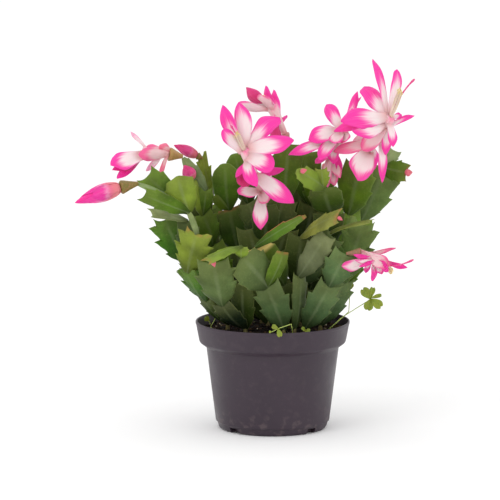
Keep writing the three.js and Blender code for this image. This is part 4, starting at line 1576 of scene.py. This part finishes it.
        def radius(u: float, turn: float) -> float:
            """The tube's radius, which widens to the throat and is grooved between the petals.

            Args:
                u: How far along the tube.
                turn: Which way round, in radians.

            Returns:
                The radius, in millimetres.
            """
            plain = self.tube_radius * (0.85 + 0.15 * smooth_step(0, 0.3, u))
            plain += (self.throat_radius - self.tube_radius) * u
            return plain * (1 + self.tube_groove_depth * math.cos(self.tube_grooves * turn + 2 * u))

        facing = square_to(axis, looks)
        tone = (*Silk.TUBE.value, 0.35)
        middle = seed.lerp(throat, 0.5)
        pieces = [self.round_piece(f"{name}_tube", self.tube, seed, middle, throat, radius, tone)]
        for i, row in enumerate(bloom.petals):
            centre = seed.lerp(throat, row.share)
            tip = Vector(row.tip)
            away = tip - centre
            off_axis = square_to(axis, away)
            outward = square_to(looks, away)
            ring = self.tube_radius + (self.throat_radius - self.tube_radius) * row.share - self.petal_root
            if row.share < 1:
                off_axis = (off_axis * self.off_axis_share + facing * row.front).normalized()
            foot = centre + off_axis * ring - axis * self.petal_root
            pieces.append(self.petal_piece(f"{name}_petal_{i}", foot, tip, looks, outward, row, chance))
        return pieces

    def stamens(self, name: str, bloom: Bloom, chance: random.Random) -> list[bpy.types.Object]:
        """A flower's bundle of stamens and its style.

        Args:
            name: The flower's name.
            bloom: Its layout.
            chance: The source of small differences.

        Returns:
            The objects.
        """
        seed, throat = Vector(bloom.seed), Vector(bloom.throat)
        axis = (throat - seed).normalized()
        middle, end = Vector(bloom.stamens), Vector(bloom.style)
        side = axis.orthogonal().normalized()
        other = axis.cross(side)
        pieces = []
        for i in range(self.stamen_count):
            turn = i * NEXT_TURN
            off = side * math.cos(turn) + other * math.sin(turn)
            spread = self.stamen_spread * chance.uniform(0.25, 1.0)
            foot = throat + off * self.stamen_ring - axis * self.stamen_root
            tip = foot.lerp(middle, chance.uniform(*self.stamen_lengths)) + off * spread
            bow = axis * (self.stamen_bow * (tip - foot).length)
            bend = foot.lerp(tip, 0.5) + bow + off * self.stamen_flare
            tone = (*self.filament_tone, 0.0)
            pieces.append(self.round_piece(
                f"{name}_filament_{i}", self.rod, foot, bend, tip, lambda u, turn: self.stamen_radius, tone
            ))
            way = (tip - bend).normalized()
            pieces.append(self.round_piece(
                f"{name}_anther_{i}", self.rod, tip - way * self.anther_overlap,
                tip + way * (0.5 * self.anther_length), tip + way * self.anther_length,
                lambda u, turn: self.anther_radius * math.sqrt(max(0.02, 1 - (2 * u - 1) ** 2)),
                (*self.anther_tone, 0.0),
            ))
        bend = throat.lerp(middle, self.style_bend)
        knots = ((0, 1.0), (0.86, 1.0), (0.9, 1.5), (0.95, self.stigma_radius / self.style_radius), (1, 0.9))
        pieces.append(self.round_piece(
            f"{name}_style", self.tube, throat - axis * self.stamen_root, bend, end,
            lambda u, turn: self.style_radius * along_knots(knots, u), (*self.style_tone, 0.0),
        ))
        return pieces

    def build(self, silk: bpy.types.Material, seeds: bpy.types.Material, threads: bpy.types.Material) -> None:
        """Build every flower and put its pieces in place of its nodes.

        Args:
            silk: The petals' material.
            seeds: The seed bases' material.
            threads: The stamens' material.
        """
        chance = random.Random(self.seed)
        for name, bloom in BLOOMS.items():
            petals = joined(f"flower_{name}_petals", self.petals(name, bloom, chance))
            fit(petals, silk, "petals", f"bloom_{name}_petals")
            tone = (*linear(bloom.seed_tone), 0.0)
            foot, end = Vector(bloom.foot), Vector(bloom.seed)
            base = self.seed_piece(f"{name}_base", foot, end, bloom.seed_radius, tone)
            fit(joined(f"flower_{name}_seed_base", [base]), seeds, "seed_bases", f"bloom_{name}_seed_base")
            bundle = joined(f"flower_{name}_stamens", self.stamens(name, bloom, chance))
            fit(bundle, threads, "stamens", f"bloom_{name}_stamens")


@dataclass
class Buds:
    """The closed buds: petals wrapped round each other and drawn out to a point, some on a green seed base.

    The larger ones have outer petals too, the scales, which lie on the wrapped ones and cover shares of their
    length. Angles are radians.
    """

    flowers: Flowers
    knots: Sequence[tuple[float, float]] = (
        (0, 0.55), (0.1, 0.8), (0.32, 1.0), (0.55, 0.86), (0.8, 0.45), (0.95, 0.17), (1, 0.04),
    )
    laps: int = 3
    lap_depth: float = 0.07
    scale_lengths: Sequence[float] = (0.96, 0.8, 0.7, 0.62, 0.88)
    scale_start: float = 0.02
    scale_size: float = 1.03
    scale_flare: float = 0.06
    scale_half_angle: float = 1.0
    scale_thickness: float = 0.22
    least_scaled_radius: float = 4.0
    rise: float = 0.03
    seed_tone: str = "72661f"

    def bend(self, foot: Vector, tip: Vector) -> Vector:
        """The point that pulls a bud's middle up a little."""
        return foot.lerp(tip, 0.5) + Vector((0, 0, self.rise * (tip - foot).length))

    def bud_piece(self, name: str, foot: Vector, bud: Bud) -> bpy.types.Object:
        """The innermost petals of one bud, wrapped to a point.

        Args:
            name: The piece's name.
            foot: Where they start.
            bud: The bud's row in the layout.

        Returns:
            The new object.
        """
        tip = Vector(bud.tip)

        def radius(u: float, turn: float) -> float:
            """The bud's radius, stepped where one petal laps over the next."""
            lap = (self.laps * turn / (2 * math.pi) + 1.2 * u) % 1.0
            return bud.radius * along_knots(self.knots, u) * (1 - self.lap_depth * lap**2)

        bend, tone = self.bend(foot, tip), (*bud.tone.value, 1.0)
        return self.flowers.round_piece(name, self.flowers.tube, foot, bend, tip, radius, tone)

    def scale_piece(self, name: str, foot: Vector, bud: Bud, turn: float, length: float) -> bpy.types.Object:
        """One outer petal that lies on a bud.

        Args:
            name: The piece's name.
            foot: Where the bud starts.
            bud: The bud's row in the layout.
            turn: Which way round the bud it lies, in radians.
            length: How much of the bud's length it covers.

        Returns:
            The new object.
        """
        tip = Vector(bud.tip)
        bend = self.bend(foot, tip)
        side = (tip - foot).normalized().orthogonal().normalized()

        def place(u: float, v: float, face: float) -> Vector:
            """The place of one point of the outer petal, in millimetres.

            Args:
                u: How far along the petal.
                v: How far across it, from -1 to 1.
                face: 1 on its outside, -1 on its inside.

            Returns:
                The place.
            """
            along = self.scale_start + u * length
            point, tangent = bezier(foot, bend, tip, along)
            first = square_to(tangent, side)
            second = tangent.cross(first)
            angle = turn - v * self.scale_half_angle * along_knots(self.flowers.pointed, u)
            size = bud.radius * along_knots(self.knots, along) * (self.scale_size + self.scale_flare * u * u)
            size += face * self.scale_thickness
            return point + (first * math.cos(angle) + second * math.sin(angle)) * size

        reach, dark, salmon = bud.tone.value
        return self.flowers.sheet.shaped(name, place, (reach - 0.2, dark * 0.8, salmon, 1.0))

    def build(self, silk: bpy.types.Material, seeds: bpy.types.Material) -> None:
        """Build every bud and put it in place of its nodes.

        Args:
            silk: The petals' material.
            seeds: The seed bases' material.
        """
        for name, bud in BUDS.items():
            foot = Vector(bud.seed or bud.foot)
            foot += (Vector(bud.tip) - foot).normalized() * self.flowers.seed_gap
            pieces = [self.bud_piece(f"{name}_wrap", foot, bud)]
            if bud.radius >= self.least_scaled_radius:
                for i, length in enumerate(self.scale_lengths):
                    pieces.append(self.scale_piece(f"{name}_scale_{i}", foot, bud, i * NEXT_TURN, length))
            fit(joined(f"bud_{name}_petals", pieces), silk, "petals", f"bud_{name}")
            if bud.seed:
                tone = (*linear(self.seed_tone), 0.0)
                base = self.flowers.seed_piece(
                    f"{name}_base", Vector(bud.foot), Vector(bud.seed), bud.seed_radius, tone
                )
                fit(joined(f"bud_{name}_base_green", [base]), seeds, "seed_bases", f"bud_{name}_seed_base")


@dataclass
class NurseryPot:
    """The thin plastic pot: a wide band at the rim, a tapered body, a stepped foot and drain slots.

    Radii and heights are millimetres, from the pot's axis and from the ground.
    """

    rim_radius: float = 65.0
    height: float = 91.0
    band_bottom: float = 73.5
    band_low_radius: float = 62.0
    body_top: float = 69.3
    body_top_radius: float = 56.0
    body_low: float = 7.0
    body_low_radius: float = 48.2
    foot_radius: float = 45.5
    foot_step: float = 1.4
    foot_ring: float = 5.0
    floor_bottom: float = 1.5
    wall: float = 1.5
    lip: float = 0.55
    steps: int = 160
    slots: int = 4
    slot_width: float = 9.0
    slot_top: float = 4.5
    smooth_degrees: float = 35.0

    @staticmethod
    def rounded(corners: Sequence[tuple[float, float, float]]) -> list[tuple[float, float]]:
        """An outline with its corners rounded.

        Args:
            corners: (radius from the axis, height, rounding) for each corner.

        Returns:
            The outline's points.
        """
        points: list[tuple[float, float]] = []
        for i, (r, z, size) in enumerate(corners):
            here = Vector((r, z))
            if size == 0 or i in (0, len(corners) - 1):
                points.append((r, z))
                continue
            before = (Vector(corners[i - 1][:2]) - here).normalized() * size + here
            after = (Vector(corners[i + 1][:2]) - here).normalized() * size + here
            for t in (0.0, 0.25, 0.5, 0.75, 1.0):
                p = before * (1 - t) ** 2 + here * (2 * t * (1 - t)) + after * t**2
                points.append((p.x, p.y))
        return points

    def profile(self) -> list[tuple[float, float]]:
        """The pot's section, from under its floor out, up and back down inside.

        Returns:
            The section's points, as (radius, height).
        """
        ring = self.foot_radius - self.foot_ring
        low, wall = self.body_low_radius, self.wall
        band, rim = self.band_low_radius, self.rim_radius
        outside = (
            (0, self.floor_bottom, 0),
            (ring, self.floor_bottom, 0.5),
            (ring + 1.2, 0, 0.5),
            (self.foot_radius - 1.0, 0, 1.0),
            (self.foot_radius + 0.3, 1.6, 1.0),
            (low - self.foot_step, self.body_low - self.foot_step, 0.6),
            (low - 0.15, self.body_low - 0.5, 0.3),
            (low, self.body_low + 0.6, 0.5),
            (self.body_top_radius, self.body_top, 1.2),
            (band - 0.5, self.band_bottom - 0.2, 1.0),
            (band, self.band_bottom + 1, 0.5),
            (rim - 0.35, self.height - 2.6, 0.5),
            (rim, self.height - 2.0, 0.3),
            (rim, self.height, self.lip),
        )
        inside = (
            (rim - wall, self.height, self.lip),
            (band - wall, self.band_bottom + 0.8, 0.8),
            (self.body_top_radius - wall, self.body_top + 0.8, 1.0),
            (self.foot_radius - wall, self.floor_bottom + wall, 1.0),
            (0, self.floor_bottom + wall, 0),
        )
        return self.rounded(outside + inside)

    def cut_slot(self, pot: bpy.types.Object, middle: Vector, turn: float) -> None:
        """Cut one drain slot through the ring that the pot stands on.

        Args:
            pot: The pot.
            middle: A point of its axis.
            turn: Which way round the slot is, in radians.
        """
        pick()
        bpy.ops.mesh.primitive_cube_add(size=1.0)
        cutter = bpy.context.object
        size = Matrix.Diagonal((2 * self.slot_top * MM, self.slot_width * MM, 2 * self.slot_top * MM, 1))
        outward = Matrix.Translation((self.foot_radius * MM, 0, 0))
        cutter.data.transform(Matrix.Rotation(turn, 4, "Z") @ outward @ size)
        cutter.data.transform(Matrix.Translation((middle.x, middle.y, 0)))
        cut = pot.modifiers.new("Slot", "BOOLEAN")
        cut.operation = "DIFFERENCE"
        cut.object = cutter
        bpy.context.view_layer.objects.active = pot
        bpy.ops.object.modifier_apply(modifier=cut.name)
        bpy.data.objects.remove(cutter)

    def build(self, finish: bpy.types.Material) -> None:
        """Spin the section round, cut the drain slots, and put the pot in place of its node.

        Args:
            finish: The pot's material.
        """
        low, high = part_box("pot")
        middle = (low + high) / 2
        line = [Vector((middle.x + r * MM, middle.y, z * MM)) for r, z in self.profile()]
        mesh = bpy.data.meshes.new("nursery_pot")
        mesh.from_pydata(line, [(i, i + 1) for i in range(len(line) - 1)], [])
        pot = bpy.data.objects.new("nursery_pot", mesh)
        bpy.context.scene.collection.objects.link(pot)
        pick(pot)
        bpy.ops.object.mode_set(mode="EDIT")
        bpy.ops.mesh.select_all(action="SELECT")
        bpy.ops.mesh.spin(steps=self.steps, angle=2 * math.pi, center=(middle.x, middle.y, 0), axis=(0, 0, 1))
        bpy.ops.mesh.select_all(action="SELECT")
        bpy.ops.mesh.remove_doubles(threshold=2e-5)
        bpy.ops.mesh.normals_make_consistent(inside=False)
        bpy.ops.object.mode_set(mode="OBJECT")
        for i in range(self.slots):
            self.cut_slot(pot, middle, 2 * math.pi * (i + 0.5) / self.slots)
        pick(pot)
        bpy.ops.object.shade_smooth_by_angle(angle=math.radians(self.smooth_degrees))
        fit(pot, finish, "pot", "pot")


@dataclass
class Soil:
    """The top of the potting soil: a lumpy bed, crumbs of peat and bark, and a few pale grains.

    Each kind of lump is (how many to a millimetre, how high in millimetres, the layer of noise it is read
    from). The sizes of crumbs are millimetres, and how much they are drawn out is a share.
    """

    radius: float = 61.3
    bottom: float = 77.0
    edge_height: float = 82.4
    rise: float = 2.5
    strips: int = 110
    lumps: Sequence[tuple[float, float, float]] = ((0.11, 1.4, 2.0), (0.5, 0.8, 7.0))
    crumbs: int = 900
    crumb_reach: float = 0.97
    pale_share: float = 0.07
    pale_sizes: tuple[float, float] = (0.5, 1.1)
    peat_sizes: tuple[float, float] = (0.5, 1.9)
    stretches: Sequence[tuple[float, float]] = ((0.6, 1.6), (0.6, 1.4), (0.4, 0.9))
    turn: float = 6.3
    tilt: float = 0.5
    lift: float = 0.25
    unevenness: float = 0.35
    uneven_scale: float = 1.3
    uneven_shift: float = 1.7
    colour_share: float = 0.9
    peat: Sequence[str] = ("1b120d", "2b1d14", "3a2a1c", "4b3826", "241a16")
    pale: Sequence[str] = ("cfc6ae", "a79b7c", "8f9a5c")
    seed: int = 8

    def surface(self, x: float, y: float) -> float:
        """The height of the bed at a place.

        Args:
            x: The place's first number, in millimetres.
            y: The second.

        Returns:
            The height in millimetres.
        """
        r = math.hypot(x, y) / self.radius
        lumps = (high * noise.noise(Vector((x * fine, y * fine, layer))) for fine, high, layer in self.lumps)
        return self.edge_height + self.rise * (1 - r * r) + sum(lumps)

    def bed(self) -> bpy.types.Object:
        """The lumpy bed, as a square sheet drawn out to a disc.

        Returns:
            The new object.
        """
        sheet = sheet_lattice(self.strips, self.strips)

        def place(u: float, v: float, side: float) -> Vector:
            """The place of one point of the bed, in millimetres.

            Args:
                u: How far along the sheet.
                v: How far across it, from -1 to 1.
                side: 1 on top, -1 below.

            Returns:
                The place.
            """
            a = 2 * u - 1
            x = self.radius * v * math.sqrt(max(0.0, 1 - a * a / 2))
            y = self.radius * a * math.sqrt(max(0.0, 1 - v * v / 2))
            return Vector((x, y, self.surface(x, y) if side > 0 else self.bottom))

        return sheet.shaped("soil_bed", place, (0.0, 0.0, 0.0, 0.0))

    def crumb_pieces(self) -> list[bpy.types.Object]:
        """The loose crumbs, each a small uneven lump.

        Returns:
            The new objects.
        """
        chance = random.Random(self.seed)
        pick()
        bpy.ops.mesh.primitive_ico_sphere_add(subdivisions=2, radius=1.0)
        lump = bpy.context.object
        grain = Lattice(lump, [tuple(v.co) for v in lump.data.vertices])
        pieces = []
        for i in range(self.crumbs):
            reach = self.radius * self.crumb_reach * math.sqrt(chance.random())
            turn = chance.uniform(0, 2 * math.pi)
            x, y = reach * math.cos(turn), reach * math.sin(turn)
            pale = chance.random() < self.pale_share
            size = chance.uniform(*(self.pale_sizes if pale else self.peat_sizes))
            stretch = Vector([chance.uniform(*limits) for limits in self.stretches]) * size
            spin = Matrix.Rotation(chance.uniform(0, self.turn), 3, "Z")
            spin = spin @ Matrix.Rotation(chance.uniform(-self.tilt, self.tilt), 3, "X")
            centre = Vector((x, y, self.surface(x, y) + self.lift * size))
            shift = Vector((i * self.uneven_shift, 0, 0))

            def place(a: float, b: float, c: float) -> Vector:
                """The place of one point of the crumb, in millimetres.

                Args:
                    a: The first number of its place on a unit ball.
                    b: The second.
                    c: The third.

                Returns:
                    The place.
                """
                p = Vector((a, b, c))
                p = p * (1 + self.unevenness * noise.noise(p * self.uneven_scale + shift))
                return centre + spin @ Vector((p.x * stretch.x, p.y * stretch.y, p.z * stretch.z))

            tone = linear(chance.choice(self.pale if pale else self.peat))
            pieces.append(grain.shaped(f"crumb_{i}", place, (*tone, self.colour_share)))
        return pieces

    def build(self, nodes: dict[str, bpy.types.Object], finish: bpy.types.Material) -> None:
        """Lay the bed and its crumbs on the soil's node, which keeps its place below them.

        Args:
            nodes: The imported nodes.
            finish: The soil's material.
        """
        fit(joined("soil_top", [self.bed(), *self.crumb_pieces()]), finish, "soil")
        nodes["soil"].data.materials.clear()
        nodes["soil"].data.materials.append(finish)


@dataclass
class Weeds:
    """The small weeds that came up in the pot: thin stalks and folded, notched leaflets.

    A leaflet's fold, droop and notch are shares of its width or length.
    """

    flowers: Flowers
    stalk_radius: float = 0.36
    half_thickness: float = 0.22
    fold: float = 0.16
    leaf_tone: Point = linear("87941f")
    stalk_tone: Point = linear("a9b860")
    outline: Sequence[tuple[float, float]] = (
        (0, 0.1), (0.25, 0.55), (0.55, 0.95), (0.75, 1.0), (0.9, 0.8), (1, 0.5),
    )
    facing: Point = (0, -1, 0.4)
    droop: float = 0.1
    notch: float = 0.1
    notch_width: float = 0.35
    tint: tuple[float, float] = (0.85, 0.3)
    tint_scale: float = 0.7

    def leaflet(self, name: str, foot: Vector, tip: Vector, width: float) -> bpy.types.Object:
        """One leaflet, notched at its end like a heart and folded along its middle.

        Args:
            name: The piece's name.
            foot: Where it joins its stalk.
            tip: Its end.
            width: Its width.

        Returns:
            The new object.
        """
        along = tip - foot
        length = along.length
        along.normalize()
        facing = Vector(self.facing)
        normal = square_to(along, facing)
        across = along.cross(normal)

        def place(u: float, v: float, side: float) -> Vector:
            """The place of one point of the leaflet, in millimetres.

            Args:
                u: How far along the leaflet.
                v: How far across it, from -1 to 1.
                side: 1 on its face, -1 on its back.

            Returns:
                The place.
            """
            half = along_knots(self.outline, u) * width / 2
            reach = u * (1 - self.notch * math.exp(-((v / self.notch_width) ** 2)) * u**4)
            out = self.fold * width * abs(v) - self.droop * length * u * u
            out += side * self.half_thickness * (1 - 0.6 * v * v)
            return foot + along * (reach * length) + across * (v * half) + normal * out

        least, more = self.tint
        shade = least + more * noise.noise(foot * self.tint_scale + tip)
        return self.flowers.sheet.shaped(name, place, (*(c * shade for c in self.leaf_tone), 0.0))

    def build(self, finish: bpy.types.Material) -> None:
        """Build every weed and put it in place of its node.

        Args:
            finish: The weeds' material.
        """
        for name, weed in WEEDS.items():
            pieces = []
            for i, (foot, tip, width) in enumerate(weed.leaflets):
                pieces.append(self.leaflet(f"{name}_leaflet_{i}", Vector(foot), Vector(tip), width))
            for i, line in enumerate(weed.stalks):
                points = [Vector(p) for p in line]
                for j, (start, end) in enumerate(zip(points, points[1:])):
                    pieces.append(self.flowers.round_piece(
                        f"{name}_stalk_{i}_{j}", self.flowers.rod, start, start.lerp(end, 0.5), end,
                        lambda u, turn: self.stalk_radius, (*self.stalk_tone, 0.0),
                    ))
            fit(joined(f"weed_{name}_leaves", pieces), finish, "weeds", f"weed_{name}")


@dataclass
class Studio:
    """A pale floor, soft white light and a long-lens camera that looks a little down on the front.

    The target, the camera's distance, its lens and its sensor are millimetres. The floor, the farthest point
    that is seen, and the lights' places and widths are metres, and their powers are watts.
    """

    target: Point = (-19.1, 0.0, 151.0)
    distance: float = 3500.0
    down_degrees: float = 8.66
    lens: float = 299.4
    sensor_width: float = 36.0
    farthest: float = 100.0
    floor_size: float = 60.0
    floor_drop: float = 0.0002
    floor_tone: Point = (0.97, 0.97, 0.97)
    sky: float = 1.06
    lights: Sequence[tuple[str, Point, float, float]] = (
        ("key", (-1.2, -1.6, 1.9), 1.3, 11),
        ("fill", (1.6, -1.4, 0.9), 1.4, 3),
    )

    def floor(self) -> None:
        """Lay a wide pale floor just under the pot."""
        pick()
        bpy.ops.mesh.primitive_plane_add(size=self.floor_size, location=(0, 0, -self.floor_drop))
        floor = bpy.context.object
        floor.name = "studio_floor"
        floor.data.transform(floor.matrix_world)
        floor.matrix_world = Matrix.Identity(4)
        g = Graph("pale_floor")
        g.surface(Base_Color=self.floor_tone, Roughness=0.9, Specular_IOR_Level=0.0)
        floor.data.materials.append(g.material)

    def light(self, name: str, at: Point, size: float, power: float) -> None:
        """One soft square light that faces the middle of the plant.

        Args:
            name: The light's name.
            at: Its place, in metres.
            size: Its width, in metres.
            power: Its power, in watts.
        """
        lamp = bpy.data.lights.new(name, "AREA")
        lamp.size = size
        lamp.energy = power
        stand = bpy.data.objects.new(name, lamp)
        stand.location = at
        way = Vector(self.target) * MM - stand.location
        stand.rotation_euler = way.to_track_quat("-Z", "Y").to_euler()
        bpy.context.scene.collection.objects.link(stand)

    def build(self) -> None:
        """Set up the floor, the lights and the camera."""
        scene = bpy.context.scene
        scene.view_settings.view_transform = "Standard"
        world = bpy.data.worlds.new("studio")
        world.use_nodes = True
        world.node_tree.nodes["Background"].inputs["Color"].default_value = (1, 1, 1, 1)
        world.node_tree.nodes["Background"].inputs["Strength"].default_value = self.sky
        scene.world = world
        self.floor()
        for name, at, size, power in self.lights:
            self.light(name, at, size, power)
        camera = bpy.data.objects.new("camera", bpy.data.cameras.new("camera"))
        down = math.radians(self.down_degrees)
        away = Vector((0, -math.cos(down), math.sin(down))) * self.distance
        camera.location = (Vector(self.target) + away) * MM
        camera.rotation_euler = (-away).to_track_quat("-Z", "Y").to_euler()
        camera.data.lens = self.lens
        camera.data.sensor_width = self.sensor_width
        camera.data.clip_end = self.farthest
        scene.collection.objects.link(camera)
        scene.camera = camera


def main() -> None:
    """Build the studio, the pot, the soil, the stems, the flowers, the buds and the weeds in order."""
    logging.basicConfig(level=logging.INFO, format="%(name)s: %(message)s")
    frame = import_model()
    Studio().build()
    NurseryPot().build(PotFinish().material())
    Soil().build(frame["nodes"], SoilFinish().material())
    Foliage().build(PadFinish().material())
    silk = PetalFinish().material()
    seeds = SoftFinish("seed_skin", linear("c9706a"), 0.35).material()
    threads = SoftFinish("stamen_thread", linear("fff6e8"), 0.2).material()
    leaves = SoftFinish("weed_leaf", linear("5f8a2a"), 0.4, 0.55, 250.0).material()
    flowers = Flowers()
    flowers.build(silk, seeds, threads)
    Buds(flowers).build(silk, seeds)
    Weeds(flowers).build(leaves)


if __name__ == "__main__":
    main()
